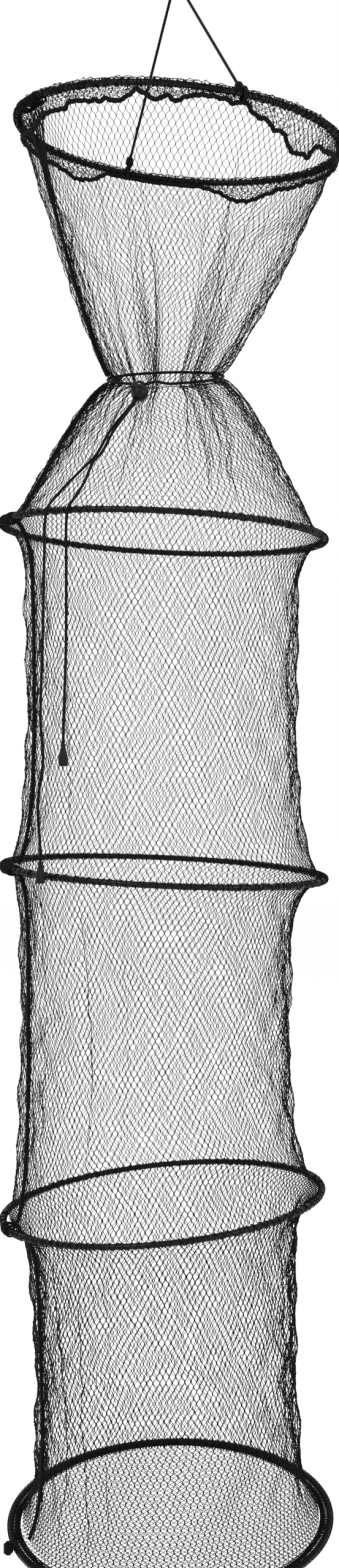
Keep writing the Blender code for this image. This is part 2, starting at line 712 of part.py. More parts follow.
def make_drawcord():
    """The drawcord: out of the lock, round the neck and back through the lock."""
    centre, button, leave = lock_axes()
    where = frame_of("neck")
    beside = aim(button, leave).col[1].copy()
    pair = DRAWCORD_RADIUS + FIT
    reach = LOCK_RADIUS + 2 * FIT
    lanes = [centre - beside * pair, centre + beside * pair]
    spread = 17.0
    on_loop = [LOCK_AZIMUTH - 360.0 + spread + (360.0 - 2 * spread) * step / 30 for step in range(31)]
    loop = [where @ polar(NECK_RADIUS, azimuth) for azimuth in on_loop]
    lanes.sort(key=lambda lane: (lane - loop[0]).length)
    leads = []
    for lane, far in zip(lanes, (loop[0], loop[-1])):
        entry = lane - leave * reach
        straight = entry - leave * DRAWCORD_RADIUS
        arch = straight.lerp(far, 0.5) + Vector((0.0, 0.0, LOCK_RADIUS * 0.3))
        leads.append([entry, straight, arch])
    points = leads[0] + loop + list(reversed(leads[1]))
    outside = smooth_route(points, DRAWCORD_RADIUS * 5)
    route = [lanes[0] + leave * reach] + outside + [lanes[1] + leave * reach]
    cord("drawcord", route, DRAWCORD_RADIUS)


def make_tail(name, side_sign, over, down, end):
    """A free tail: its part on the netting, its hanging part and its bell. Gives where it hangs."""
    centre, button, leave = lock_axes()
    beside = aim(button, leave).col[1].copy()
    lane = centre + beside * (DRAWCORD_RADIUS + FIT) * side_sign
    start = lane + leave * (LOCK_RADIUS + 3 * FIT)
    tip = Vector(end)
    through = tip - Vector((0.0, 0.0, BELL_CAP + DRAWCORD_RADIUS))
    route = smooth_route([start, start + leave * LOCK_RADIUS * 0.5, *over, *down, tip], DRAWCORD_RADIUS * 6)
    middles = [(before + after) / 2 for before, after in zip(route, route[1:])]
    away = [(middle - Vector(over[-1])).length for middle in middles]
    last = away.index(min(away))
    parting = (route[last] + route[last + 1]) / 2
    half_gap = (route[last + 1] - route[last]).normalized() * FIT / 2
    cord(f"tail_{name}_upper", route[: last + 1] + [parting - half_gap], DRAWCORD_RADIUS)
    cord(f"tail_{name}_hanging", [parting + half_gap] + route[last + 1:] + [through], DRAWCORD_RADIUS)
    bore = DRAWCORD_RADIUS + FIT
    shoulder = BELL_LENGTH * 0.3
    profile = [
        (bore, 0.0), (BELL_NECK_RADIUS, 0.0), (BELL_NECK_RADIUS * 1.25, -shoulder),
        (BELL_RADIUS * 0.82, -BELL_LENGTH * 0.65), (BELL_RADIUS, -BELL_LENGTH),
        (BELL_RADIUS - BELL_WALL, -BELL_LENGTH), (BELL_RADIUS * 0.82 - BELL_WALL, -BELL_LENGTH * 0.65),
        (bore + FIT, -BELL_CAP), (bore, -BELL_CAP),
    ]
    turned(f"cord_end_{name}", profile, Matrix.Translation(tip), LOCK_BLACK, ring=True)
    return parting


def make_rings():
    """The three ring hoops, the netting and the side lacing between them."""
    netting("net_neck", "neck", NECK_ROW_SHARES, NECK_WINDOW_ROWS)
    lacing("side_lacing_neck", "neck", NECK_ROW_SHARES, 0.04, 0.975)
    for number in (2, 3, 4):
        hoop(f"ring_{number}", f"ring_{number}")
        netting(f"net_bay_{number}", f"bay_{number}", BAY_ROW_SHARES, BAY_WINDOW_ROWS)
        lacing(f"side_lacing_bay_{number}", f"bay_{number}", BAY_ROW_SHARES, 0.006, 0.988)


def make_bottom():
    """Bottom hoop, the rope inside it, the panel and the seam's last knot."""
    hoop("bottom", "bottom")
    where = frame_of("bottom")
    azimuths = even_azimuths(HOOP_STEPS)
    rope_radius = HOOP_RADIUS - BOTTOM_ROPE_SET_IN
    circle = [where @ spot for spot in ring_of(rope_radius, azimuths)]
    cord("bottom_rope", circle, BOTTOM_ROPE_RADIUS, closed=True)
    edge = BOTTOM_ROPE_RADIUS + FOLD_STAND_OFF + FIT + NET_WALL / 2
    rows = []
    for share in PANEL_RING_SHARES:
        drop = 2 * NET_WALL + PANEL_SAG * (1.0 - share**2)
        rows.append([where @ polar((rope_radius - edge) * share, a, -drop) for a in azimuths])
    centre = where @ Vector((0.0, 0.0, -2 * NET_WALL - PANEL_SAG))
    loft("bottom_net", [list(reversed(row)) for row in rows], NETTING_BLACK, NET_WALL, centre)
    flat = SEAM_KNOT_RADIUS * math.cos(math.pi / KNOT_STEPS)
    stand_off = faceted(HOOP_RADIUS, LACING_AZIMUTH) + TUBE_RADIUS + FOLD_STAND_OFF + FIT + flat
    knot = where @ polar(stand_off, LACING_AZIMUTH, SEAM_KNOT_LENGTH / 2)
    turned("seam_knot", knot_profile(SEAM_KNOT_RADIUS, SEAM_KNOT_LENGTH, LACING_RADIUS),
           Matrix.Translation(knot), CORD_BLACK, KNOT_STEPS)


def make_bottom_fold():
    """The netting's edge folded over the bottom hoop and its rope, open on the inner side."""
    where = frame_of("bottom")
    inner = HOOP_RADIUS - BOTTOM_ROPE_SET_IN - BOTTOM_ROPE_RADIUS
    outer = HOOP_RADIUS + TUBE_RADIUS
    middle = (inner + outer) / 2
    half_long = (outer - inner) / 2 + FIT + NET_WALL / 2
    half_tall = TUBE_RADIUS + FIT + NET_WALL / 2
    bevel = half_tall * FOLD_BEVEL_SHARE
    lip = half_tall * FOLD_LIP_SHARE
    upper = [(-half_long, lip), (bevel - half_long, half_tall), (half_long - bevel, half_tall)]
    upper.append((half_long, half_tall - bevel))
    section = upper + [(across, -up) for across, up in reversed(upper)]
    azimuths = even_azimuths(HOOP_STEPS)
    rows = [[where @ polar(middle + across, azimuth, up) for azimuth in azimuths] for across, up in section]
    loft("net_bottom_fold", rows, NETTING_BLACK, NET_WALL)


def gather(name, point, members):
    """An empty on a joint's axis, parent of the pieces that turn or slide there."""
    pivot = bpy.data.objects.new(name, None)
    NET.objects.link(pivot)
    pivot.location = point
    for member in members:
        thing = bpy.data.objects[member]
        thing.parent = pivot
        thing.matrix_parent_inverse = Matrix.Translation(-Vector(point))


def gather_bodies():
    """The empties of the moving bodies, each under the hoop or the lock that it moves with."""
    anchors = [anchor_place(azimuth)[0] for azimuth in (BACK_ANCHOR_AZIMUTH, FRONT_ANCHOR_AZIMUTH)]
    mouth = ["mouth_hoop", "mouth_hoop_plug", "net_cuff", "selvedge_rope", "net_mouth", "side_lacing_mouth"]
    gather("pivot_mouth", (anchors[0] + anchors[1]) / 2, mouth)
    tails = ["tail_short_upper", "tail_long_upper"]
    gather("pivot_neck", frame_of("neck").translation, ["drawcord", "net_neck", "side_lacing_neck"] + tails)
    for number in (2, 3, 4):
        pieces = [f"ring_{number}_hoop", f"ring_{number}_hoop_plug", f"net_bay_{number}"]
        pieces.append(f"side_lacing_bay_{number}")
        gather(f"pivot_ring_{number}", frame_of(f"ring_{number}").translation, pieces)
    bottom = ["bottom_hoop", "bottom_hoop_plug", "bottom_rope", "net_bottom_fold", "bottom_net", "seam_knot"]
    gather("pivot_bottom", frame_of("bottom").translation, bottom)
    centre = lock_axes()[0]
    gather("pivot_cord_lock", centre, ["cord_lock_ball", "cord_lock_spring"])
    gather("pivot_lock_button", centre, ["cord_lock_plunger"])
    for name, hook in HOOKS.items():
        gather(f"pivot_tail_{name}", hook, [f"tail_{name}_hanging", f"cord_end_{name}"])


make_hanging_loop()
CUFF = make_mouth()
make_anchor("back", BACK_ANCHOR_AZIMUTH, CUFF)
make_anchor("front", FRONT_ANCHOR_AZIMUTH, CUFF)
make_cord_lock()
make_drawcord()
HOOKS = {
    "short": make_tail("short", 1.0, SHORT_TAIL_OVER, SHORT_TAIL_DOWN, SHORT_TAIL_END),
    "long": make_tail("long", -1.0, LONG_TAIL_OVER, LONG_TAIL_DOWN, LONG_TAIL_END),
}
make_rings()
make_bottom()
make_bottom_fold()
gather_bodies()
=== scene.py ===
"""The looks of a keep net: its netting thread by thread, its hoops, cords and cord lock.

Metres, +Z up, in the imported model's own frame: +X is the net's right side and -Y its front. An azimuth is
in degrees round +Z from +X, and a section's share runs from 0 at its upper edge to 1 at its lower edge.
"""

import json
import math

import bmesh
import bpy
import numpy as np
from mathutils import Euler, Matrix, Vector


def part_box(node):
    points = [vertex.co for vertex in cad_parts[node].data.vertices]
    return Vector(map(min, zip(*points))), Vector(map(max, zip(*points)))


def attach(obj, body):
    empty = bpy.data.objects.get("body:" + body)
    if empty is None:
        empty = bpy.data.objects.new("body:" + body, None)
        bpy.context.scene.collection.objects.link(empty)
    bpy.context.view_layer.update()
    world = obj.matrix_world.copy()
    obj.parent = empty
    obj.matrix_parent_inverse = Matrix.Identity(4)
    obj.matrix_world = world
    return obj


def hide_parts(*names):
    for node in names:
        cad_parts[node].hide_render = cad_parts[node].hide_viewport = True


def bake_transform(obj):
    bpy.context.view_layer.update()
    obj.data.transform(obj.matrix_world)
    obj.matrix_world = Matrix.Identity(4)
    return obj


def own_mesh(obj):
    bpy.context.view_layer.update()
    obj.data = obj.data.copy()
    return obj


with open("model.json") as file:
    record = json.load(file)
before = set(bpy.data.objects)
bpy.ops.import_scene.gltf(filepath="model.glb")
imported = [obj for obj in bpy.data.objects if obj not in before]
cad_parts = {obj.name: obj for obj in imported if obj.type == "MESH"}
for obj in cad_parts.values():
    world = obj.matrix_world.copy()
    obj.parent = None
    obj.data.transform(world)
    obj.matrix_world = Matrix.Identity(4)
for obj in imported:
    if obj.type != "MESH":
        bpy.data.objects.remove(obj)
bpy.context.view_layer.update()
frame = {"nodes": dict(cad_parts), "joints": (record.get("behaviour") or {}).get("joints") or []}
JOINTS = {joint["name"]: joint for joint in frame["joints"]}

MM = 0.001

# The camera that the photograph was taken with, fitted to the hoops
CAMERA_PLACE = (-7.1 * MM, -2000 * MM, -988 * MM)
CAMERA_PITCH = 88.644
CAMERA_LENS = 37.43

# Studio: a floor well below the net and two soft lights (name, place, size, power)
FLOOR_HEIGHT = -2350 * MM
FLOOR_SIZE = 12.0
STUDIO_AIM = (0.0, 0.0, -1.0)
STUDIO_LIGHTS = (("key", (-1.8, -2.6, 1.2), 1.6, 60.0), ("fill", (2.2, -1.8, -0.4), 1.8, 30.0))

# Patterns of the finishes: how many of each lie in a real length
LINT_PATCHES = 9 / (100 * MM)
THREAD_TWISTS = 14 / (10 * MM)
TUBE_SCUFFS = 16 / (100 * MM)
PLASTIC_WEAR = 24 / (100 * MM)
PLASTIC_GRAIN = 22 / (10 * MM)
DRAWING_MARKS = 3 / (1 * MM)
ROLLER_MARKS = 3 / (10 * MM)
PLAITS_ALONG = 26 / (100 * MM)
PLAITS_ROUND = 4.0
# The part of a noise that dulls a finish, and how strongly and how high a cord's plaits are raised
NOISE_SPAN = (0.3, 0.7)
PLAIT_RAISED = (0.7, 0.3 * MM)

# Seeds of the random draws; for the mesh loops and the seam turns each hoop takes the next number
GATHERED_ROW_SEED = 0
NECK_FOLDS_SEED = 11
MESH_LOOPS_SEED = 30
CUFF_EDGE_SEED = 42
SIDE_SEAM_SEED = 51
SEAM_TOP_SEED = 61
SEAM_TURNS_SEED = 62
NETTING_SEEDS = {"mouth": 315, "neck": 308, "bay_2": 315, "bay_3": 315, "bay_4": 315}

# Meshes: how near two corners are joined, the angle of a sharp edge, and a rope strand's sides
STRAND_WELD = 0.01 * MM
TURNED_WELD = 0.005 * MM
SHARP_ANGLE = 38.0
PLY_SIDES = 7

# Packed sizes that the looks are built on
FIT = 0.3 * MM
NET_WALL = 1.0 * MM
HOOP_RADIUS = 196.5 * MM
TUBE_RADIUS = 3.5 * MM
TUBE_WALL = 0.9 * MM
JOINT_GAP = 0.6 * MM
JOINT_AZIMUTH = 80.0
HOOP_FACETS = 28
NECK_RADIUS = 70.5 * MM
NECK_DROP = 539.9 * MM
NECK_ASIDE_SHARE = -0.061
NECK_LOW_RIGHT = -1.8
NECK_HIGH_BACK = 18.0
LACING_AZIMUTH = 200.0
LACING_PULL = 9.0 * MM
LACING_SPREAD = 16.0
NECK_DIP_SHARE = 0.2
FLARE_BELOW = 20 * MM
FLARE_ABOVE = 45 * MM
# How far in each bay's waist is, and how much more so on its right
WAISTS = {"bay_2": (22.0 * MM, 0.20), "bay_3": (22.5 * MM, 0.53), "bay_4": (28.5 * MM, 0.14)}
MOUTH_CONE_POWER = 0.80
NECK_CONE_POWER = 0.65
BOTTOM_ROPE_RADIUS = 2.5 * MM
BOTTOM_ROPE_SET_IN = 8 * MM
PANEL_SAG = 12 * MM

# Netting: 140 meshes round, each a diamond whose bars meet in short upright joins
COLUMNS = 280
THREAD_RADIUS = 0.29 * MM
JOIN_LENGTH = 2.6 * MM
JOIN_GAP = 0.18 * MM
JOIN_THICKER = 1.9
BAR_LENGTH = 5.9 * MM
WIDEST_MESH_SHARE = 0.75
NATURAL_ROUND = 2 * math.pi * (HOOP_RADIUS - TUBE_RADIUS)
# The netting's thread is drawn thicker further down, as it looks in the photograph
THREAD_THICKER = {"mouth": 1.0, "neck": 1.1, "bay_2": 1.15, "bay_3": 1.25, "bay_4": 1.6}
# How irregular it is: joins out of place, rows and columns that wander, and a wall that swells and ripples
JOIN_SCATTER = 0.26 * MM
COLUMN_DRIFT = 1.6
ROW_DRIFT = 2.0 * MM
SWELL = 4.0 * MM
RIPPLE = 2.2 * MM
RIPPLES_ROUND = (13, 19)
RIPPLES_DOWN = (7.3, -5.1)
# How much further in it hangs at its left and its right than its packed wall
DRAWN_IN = {"mouth": (3 * MM, 2 * MM), "neck": (9 * MM, 8 * MM), "bay_2": (5 * MM, 4 * MM),
            "bay_3": (4 * MM, 3 * MM), "bay_4": (0.0, -4 * MM)}
# Points round one row of netting
ROUND_STEPS = 1440
AZIMUTHS = LACING_AZIMUTH + np.arange(ROUND_STEPS) * 360.0 / ROUND_STEPS
# Places down a section where its netting's run is measured
RUN_PLACES = 61

# Main folds of the netting drawn in at the neck, in bunches with smoother netting between:
# (azimuth at the mouth hoop, at the neck, at ring 2, weight at the hoop, at the neck, at ring 2)
NECK_FOLDS = (
    (192, 189, 191, 3, 3, 4), (198, 196, 197, 4, 3, 6), (205, 204, 204, 4, 3, 5), (212, 212, 212, 2, 3, 3),
    (222, 228, 226, 1, 3, 1), (233, 239, 237, 4, 6, 2), (244, 247, 249, 2, 5, 3), (249, 257, 254, 3, 4, 7),
    (254, 266, 262, 12, 6, 2), (289, 288, 280, 2, 5, 2), (296, 293, 285, 12, 5, 7), (303, 300, 289, 3, 6, 3),
    (309, 305, 294, 5, 4, 3), (317, 312, 298, 3, 5, 12), (328, 334, 322, 2, 3, 2),
    (334, 340, 330, 2, 3, 1), (341, 346, 338, 1, 3, 1), (12, 12, 14, 1, 3, 2), (18, 18, 20, 2, 3, 1),
    (25, 24, 28, 1, 3, 2), (54, 54, 54, 3, 3, 2), (62, 59, 60, 9, 3, 1), (65, 64, 66, 11, 3, 1),
    (98, 98, 98, 3, 3, 2), (108, 104, 105, 8, 3, 2), (111, 109, 112, 11, 3, 2), (138, 138, 137, 2, 3, 2),
    (144, 143, 143, 1, 3, 1), (150, 148, 150, 1, 3, 2), (168, 168, 168, 2, 3, 3), (174, 174, 174, 1, 3, 2),
)
# Main folds of the bays: (azimuth at the upper hoop, at the lower hoop, their weights)
BAY_FOLDS = {
    "bay_2": ((196, 197, 3, 3), (216, 214, 2, 3), (228, 232, 3, 3), (8, 10, 3, 4), (350, 346, 4, 4),
              (338, 342, 2, 3), (168, 172, 3, 3), (316, 308, 1, 2)),
    "bay_3": ((197, 195, 3, 3), (214, 217, 3, 2), (236, 240, 4, 2), (9, 6, 4, 4), (345, 349, 4, 4),
              (336, 333, 3, 2), (172, 168, 3, 2), (254, 252, 3, 1)),
    "bay_4": ((195, 197, 3, 3), (216, 220, 3, 3), (232, 236, 2, 3), (4, 8, 4, 4), (342, 346, 4, 4),
              (330, 336, 2, 3), (168, 172, 2, 3), (244, 246, 2, 2)),
}
LITTLE_FOLD_WEIGHTS = (0.1, 0.5)
NECK_LITTLE_FOLDS = 9
BAY_LITTLE_FOLDS = 12
# How much of the netting's slack narrows its meshes, from 0 to 1: the rest goes into folds
NECK_SLACK_POWER = 0.07
BAY_SLACK_POWER = 0.45
FOLD_WIDTHS = (1.5 * MM, 3.0 * MM)
FOLD_SWAY = 3.0
FOLD_LEAN = 0.7
FOLD_FADE = 40 * MM
# How often a fold sways and how its depth comes and goes on its way down
SWAY_WAVE = 4.0
DEPTH_WAVE = 5.0
DEPTH_WAVER_SHARE = 0.5

# Side seam: the lacing's three plies, the gathered netting beside it and its turns round the hoops
SEAM_STEPS = 70
LACING_RADIUS = 2.2 * MM
LACING_PLY_RADIUS_SHARE = 0.62
LACING_PLY_OFFSET_SHARE = 0.55
LACING_LAY = 13 * MM
LACING_ENDS_SHARES = {"mouth": (0.065, 0.988), "neck": (0.014, 0.975), "bay_2": (0.006, 0.988),
                      "bay_3": (0.006, 0.988), "bay_4": (0.006, 0.988)}
SEAM_EDGES = {"mouth": (-2.6, -1.5, 1.2, 2.2, 3.4), "neck": (-2.4, -1.4, 1.2, 2.4, 4.0), "bay_2": (-1.1, 1.3),
              "bay_3": (-1.2, 1.1), "bay_4": (-1.0, 1.2)}
SEAM_EDGE_RADIUS = 0.55 * MM
SEAM_EDGE_STRAY = 0.12
SEAM_EDGE_STRAY_MOST = 1.2
SEAM_EDGE_SCATTER = 0.5 * MM
# (azimuths that the turns cover, number of turns)
SEAM_TURNS = {"mouth": ((199.0, 214.0), 26), "ring_2": ((195.0, 206.0), 16),
              "ring_3": ((195.0, 205.0), 14), "ring_4": ((195.0, 203.0), 9)}
SEAM_TURN_RADIUS = 0.75 * MM
SEAM_TURN_PROUD = (1.2 * MM, 2.6 * MM)
SEAM_TURN_REACH_SHARES = (0.55, 1.0)
SEAM_TURN_SLACK = 1.5 * MM
SEAM_TURN_STRAY = 0.3
SEAM_TURN_LEAN = 0.9
SEAM_TURN_POINTS = 20
SEAM_TOP_BANDS = (194.0, 196.5, 198.5, 201.5, 203.5, 205.5, 207.5, 209.5, 211.5, 213.5)
SEAM_TOP_RADIUS = 0.85 * MM
SEAM_TOP_LENGTH_SHARE = 0.42
SEAM_TOP_POWER = 1.7
SEAM_TOP_STEPS = 40
SEAM_TOP_WAVES = (20.0, 45.0)
SEAM_TOP_OUT = 2.2 * MM
SEAM_TOP_SCATTER = 0.35 * MM

# Hoops: their bodies, and the meshes looped over them
HOOP_BODIES = {"mouth": "mouth", "ring_2": "ring_2", "ring_3": "ring_3", "ring_4": "ring_4",
               "bottom": "bottom_ring"}
HOOP_STEPS = 168
TUBE_SIDES = 12
MESH_LOOPS = {"mouth": COLUMNS, "ring_2": COLUMNS * 3 // 4, "ring_3": COLUMNS * 3 // 4,
              "ring_4": COLUMNS * 3 // 4}
MESH_LOOP_RADIUS = 0.60 * MM
MESH_LOOP_POINTS = 10
MESH_LOOP_SCATTER = 0.22
MESH_LOOP_LEAN = 0.8

# Cuff of folded netting over the mouth hoop, and how far its ragged edge hangs: (azimuth, share of the drop)
CUFF_INNER_DROP = 11 * MM
CUFF_DROP = 41 * MM
CUFF_SCALLOPS_SHARES = (
    (0, 0.34), (14, 0.30), (30, 0.26), (47, 0.30), (61, 0.60), (68, 0.52), (76, 0.20), (84, 0.07),
    (100, 0.05), (118, 0.07), (126, 0.40), (133, 0.58), (142, 0.40), (150, 0.36), (165, 0.34),
    (180, 0.36), (194, 0.46), (214, 0.40), (226, 0.42), (233, 0.30), (243, 0.36), (250, 0.36),
    (257, 0.14), (262, 0.34), (266, 0.24), (270, 0.38), (273, 0.18), (281, 0.14), (288, 0.18),
    (293, 0.18), (297, 0.38), (302, 0.42), (306, 0.64), (310, 0.58), (313, 0.82), (316, 1.0),
    (320, 0.92), (324, 0.92), (329, 0.55), (336, 0.50), (346, 0.40),
)
CUFF_HEM = 2 * MM
# Small tucks where the rope gathers the edge: (how many round, where they start)
CUFF_TUCK = 2.6 * MM
CUFF_TUCKS = ((29, 0.1), (47, 0.6), (71, 0.3), (97, 0.8))
CUFF_ROWS_OVER = 6
CUFF_ROWS_OUTSIDE = 7
CUFF_PROUD = 1.1 * MM
CUFF_STRAY = 0.35
# The cuff's two layers: (name, seed, how far their joins lie out of place, the node that they stand for)
CUFF_LAYERS = (("netting_cuff_1", 41, 0.4 * MM, ("net_cuff",)), ("netting_cuff_3", 43, 0.7 * MM, ()))
SELVEDGE_STEPS = 720
SELVEDGE_PLY_RADIUS = 1.5 * MM
SELVEDGE_PLY_OFFSET = 1.3 * MM
SELVEDGE_LAY = 15.4 * MM
SELVEDGE_SCATTER = 0.45 * MM
CUT_ENDS = 900
CUT_END_CLEARANCE = 5.0
CUT_END_RADIUS = 0.45 * MM
CUT_END_LENGTHS = (2.0 * MM, 5.5 * MM)
CUT_END_BEND_SHARE = 0.6
CUT_END_SCATTER = 0.4 * MM

# Bottom: its rope's plies, the whipping round hoop and rope, and the panel's gathered meshes
BOTTOM_LAY = 16 * MM
BOTTOM_PLY_RADIUS_SHARE = 0.55
BOTTOM_PLY_OFFSET_SHARE = 0.52
WHIP_RADIUS = 0.60 * MM
WHIP_TURNS = 300
WHIP_STEPS = 12
WHIP_SQUARE_POWERS = (0.55, 0.75)
FLOOR_HALF_MESH = 4.25 * MM
FLOOR_GATHER_SHARE = 0.72
FLOOR_THREAD_THICKER = 1.5

# Bridle and its hitches
BRIDLE_RADIUS = 1.7 * MM
BACK_ANCHOR_AZIMUTH = 111.0
FRONT_ANCHOR_AZIMUTH = 291.5
LOOP_LENGTH = 40 * MM
LOOP_HALF_WIDTH = 8.5 * MM
APEX_KNOT_LENGTH = 17 * MM
APEX_KNOT_RADIUS = 5.8 * MM
ANCHOR_KNOT_RADIUS = 5.0 * MM
ANCHOR_KNOT_LENGTH = 13 * MM
HITCH_CORD_RADIUS = 1.6 * MM
# A knot's points along its length, and how far inside its turns its core lies, in cord radii
KNOT_STEPS = 20
KNOT_CORE_INSIDE = 1.6

# Drawcord and its two tails
DRAWCORD_RADIUS = 1.6 * MM
DRAWCORD_SPREAD = 17.0
DRAWCORD_STEPS = 30
DRAWCORD_ARCH_SHARE = 0.3
SHORT_TAIL_OVER = (
    (-0.0702, -0.1262, -0.6271), (-0.0833, -0.1412, -0.6546), (-0.0938, -0.1445, -0.6673),
    (-0.1031, -0.1540, -0.6911), (-0.1148, -0.1610, -0.7114), (-0.1205, -0.1716, -0.7225),
)
SHORT_TAIL_DOWN = (
    (-0.1225, -0.1720, -0.7420), (-0.1225, -0.1720, -0.7827), (-0.1229, -0.1720, -0.8736),
    (-0.1253, -0.1720, -0.9489),
)
LONG_TAIL_OVER = (
    (-0.0748, -0.1243, -0.6276), (-0.0896, -0.1400, -0.6569), (-0.1062, -0.1425, -0.6746),
    (-0.1256, -0.1425, -0.6941), (-0.1382, -0.1430, -0.7084), (-0.1443, -0.1545, -0.7195),
)
LONG_TAIL_DOWN = (
    (-0.1476, -0.1550, -0.7380), (-0.1484, -0.1550, -0.7807), (-0.1504, -0.1550, -0.8725),
    (-0.1529, -0.1550, -0.9575), (-0.1501, -0.1550, -1.0050), (-0.1559, -0.1550, -1.0528),
    (-0.1537, -0.1550, -1.1004),
)
SHORT_TAIL_END = (-0.1262, -0.1720, -0.9863)
LONG_TAIL_END = (-0.1532, -0.1550, -1.1195)

# Fluted bells on the tails' ends
BELL_CAP = 4 * MM
BELL_RADIUS = 5.5 * MM
BELL_NECK_RADIUS = 2.8 * MM
BELL_NECK_ROUNDING = 0.4 * MM
BELL_SHOULDER_RADIUS = 1.22 * BELL_NECK_RADIUS
BELL_LENGTH = 25 * MM
BELL_WALL = 1.1 * MM
BELL_WIDEST_SHARE = 0.75
BELL_DRAWN_IN_SHARE = 0.4
BELL_FLUTES = 12
BELL_FLUTE_DEPTH = 0.45 * MM

# Cord lock: ball, well, plunger, the cords' passage and the spring
LOCK_RADIUS = 10 * MM
LOCK_AZIMUTH = 255.07
LOCK_CLEARANCE = 3 * MM
LOCK_TRAVEL = 30 * MM
WELL_RADIUS = 4.8 * MM
WELL_DEPTH = 7.5 * MM
PLUNGER_RADIUS = 4.4 * MM
PLUNGER_FOOT = -4.0 * MM
PLUNGER_PROUD = 4.5 * MM
PLUNGER_DISH = 0.5 * MM
PLUNGER_EDGE = 1.1 * MM
PRESS_DEPTH = 2.5 * MM
PASSAGE_WIDE = 6.8 * MM
PASSAGE_TALL = 5.0 * MM
PASSAGE_CORNER = 1.2 * MM
WINDOW_TALL = 2 * DRAWCORD_RADIUS + 2 * FIT + PRESS_DEPTH
SPRING_WIRE = 0.3 * MM
SPRING_RADIUS = 3.0 * MM
SPRING_TURNS = 3


def link(thing):
    """Puts an object in the scene."""
    bpy.context.scene.collection.objects.link(thing)
    return thing


def solid(name, shape, material=None, smooth=True):
    """An object made from a finished bmesh."""
    mesh = bpy.data.meshes.new(name)
    shape.to_mesh(mesh)
    shape.free()
    if smooth:
        mesh.shade_smooth()
    if material:
        mesh.materials.append(material)
    return link(bpy.data.objects.new(name, mesh))


def evaluated_mesh(thing):
    """A mesh of an object with its modifiers applied."""
    bpy.context.view_layer.update()
    return bpy.data.meshes.new_from_object(thing.evaluated_get(bpy.context.evaluated_depsgraph_get()))


def make_camera():
    """The camera at the photograph's place."""
    camera = bpy.data.cameras.new("camera")
    camera.lens = CAMERA_LENS
    thing = link(bpy.data.objects.new("camera", camera))
    thing.location = CAMERA_PLACE
    thing.rotation_euler = (math.radians(CAMERA_PITCH), 0.0, 0.0)
    bpy.context.scene.camera = thing


def linear(code):
    """A linear colour from an sRGB hex value."""
    channels = [int(code[start:start + 2], 16) / 255 for start in (0, 2, 4)]
    return [c / 12.92 if c <= 0.04045 else ((c + 0.055) / 1.055) ** 2.4 for c in channels] + [1.0]


def add_node(tree, kind, settings=None, inputs=None, links=None):
    """Adds a node with its settings, its unlinked inputs and its links from other nodes' outputs."""
    made = tree.nodes.new(kind)
    for name, value in (settings or {}).items():
        setattr(made, name, value)
    for name, value in (inputs or {}).items():
        made.inputs[name].default_value = value
    for name, source in (links or {}).items():
        tree.links.new(source, made.inputs[name])
    return made


def blank_material(name, **values):
    """A material whose shader has uniform values on its own sockets."""
    material = bpy.data.materials.new(name)
    material.use_nodes = True
    shader = material.node_tree.nodes["Principled BSDF"]
    for socket, value in values.items():
        shader.inputs[socket.replace("_", " ")].default_value = value
    return material


def finish_surface(material, colours, pattern, ends=(0.0, 1.0), raised=None):
    """Colours a material between two hex colours by a pattern, and raises it: (pattern, strength, depth)."""
    tree = material.node_tree
    shader = tree.nodes["Principled BSDF"]
    shade = add_node(tree, "ShaderNodeValToRGB", links={"Fac": pattern})
    for stop, position, colour in zip(shade.color_ramp.elements, ends, colours):
        stop.position = position
        stop.color = linear(colour)
    tree.links.new(shade.outputs["Color"], shader.inputs["Base Color"])
    if raised:
        height, strength, depth = raised
        bump = add_node(tree, "ShaderNodeBump", inputs={"Strength": strength, "Distance": depth},
                        links={"Height": height})
        tree.links.new(bump.outputs["Normal"], shader.inputs["Normal"])
    return material


def mottled(name, colours, patches, detail=2.0, ends=(0.0, 1.0), grain=None, dulled=None, **values):
    """A material with patches of two colours, and a raised grain and dulled patches where they are given."""
    material = blank_material(name, **values)
    tree = material.node_tree
    place = add_node(tree, "ShaderNodeTexCoord")
    noises = [(patches, detail)] + ([(grain[0], 1.0)] if grain else [])
    spots = [add_node(tree, "ShaderNodeTexNoise", inputs={"Scale": scale, "Detail": fineness},
                      links={"Vector": place.outputs["Object"]}).outputs["Fac"] for scale, fineness in noises]
    if dulled:
        shine = add_node(tree, "ShaderNodeMapRange", links={"Value": spots[0]},
                         inputs={"From Min": NOISE_SPAN[0], "From Max": NOISE_SPAN[1],
                                 "To Min": dulled[0], "To Max": dulled[1]})
        tree.links.new(shine.outputs["Result"], tree.nodes["Principled BSDF"].inputs["Roughness"])
    return finish_surface(material, colours, spots[0], ends, (spots[1], *grain[1:]) if grain else None)


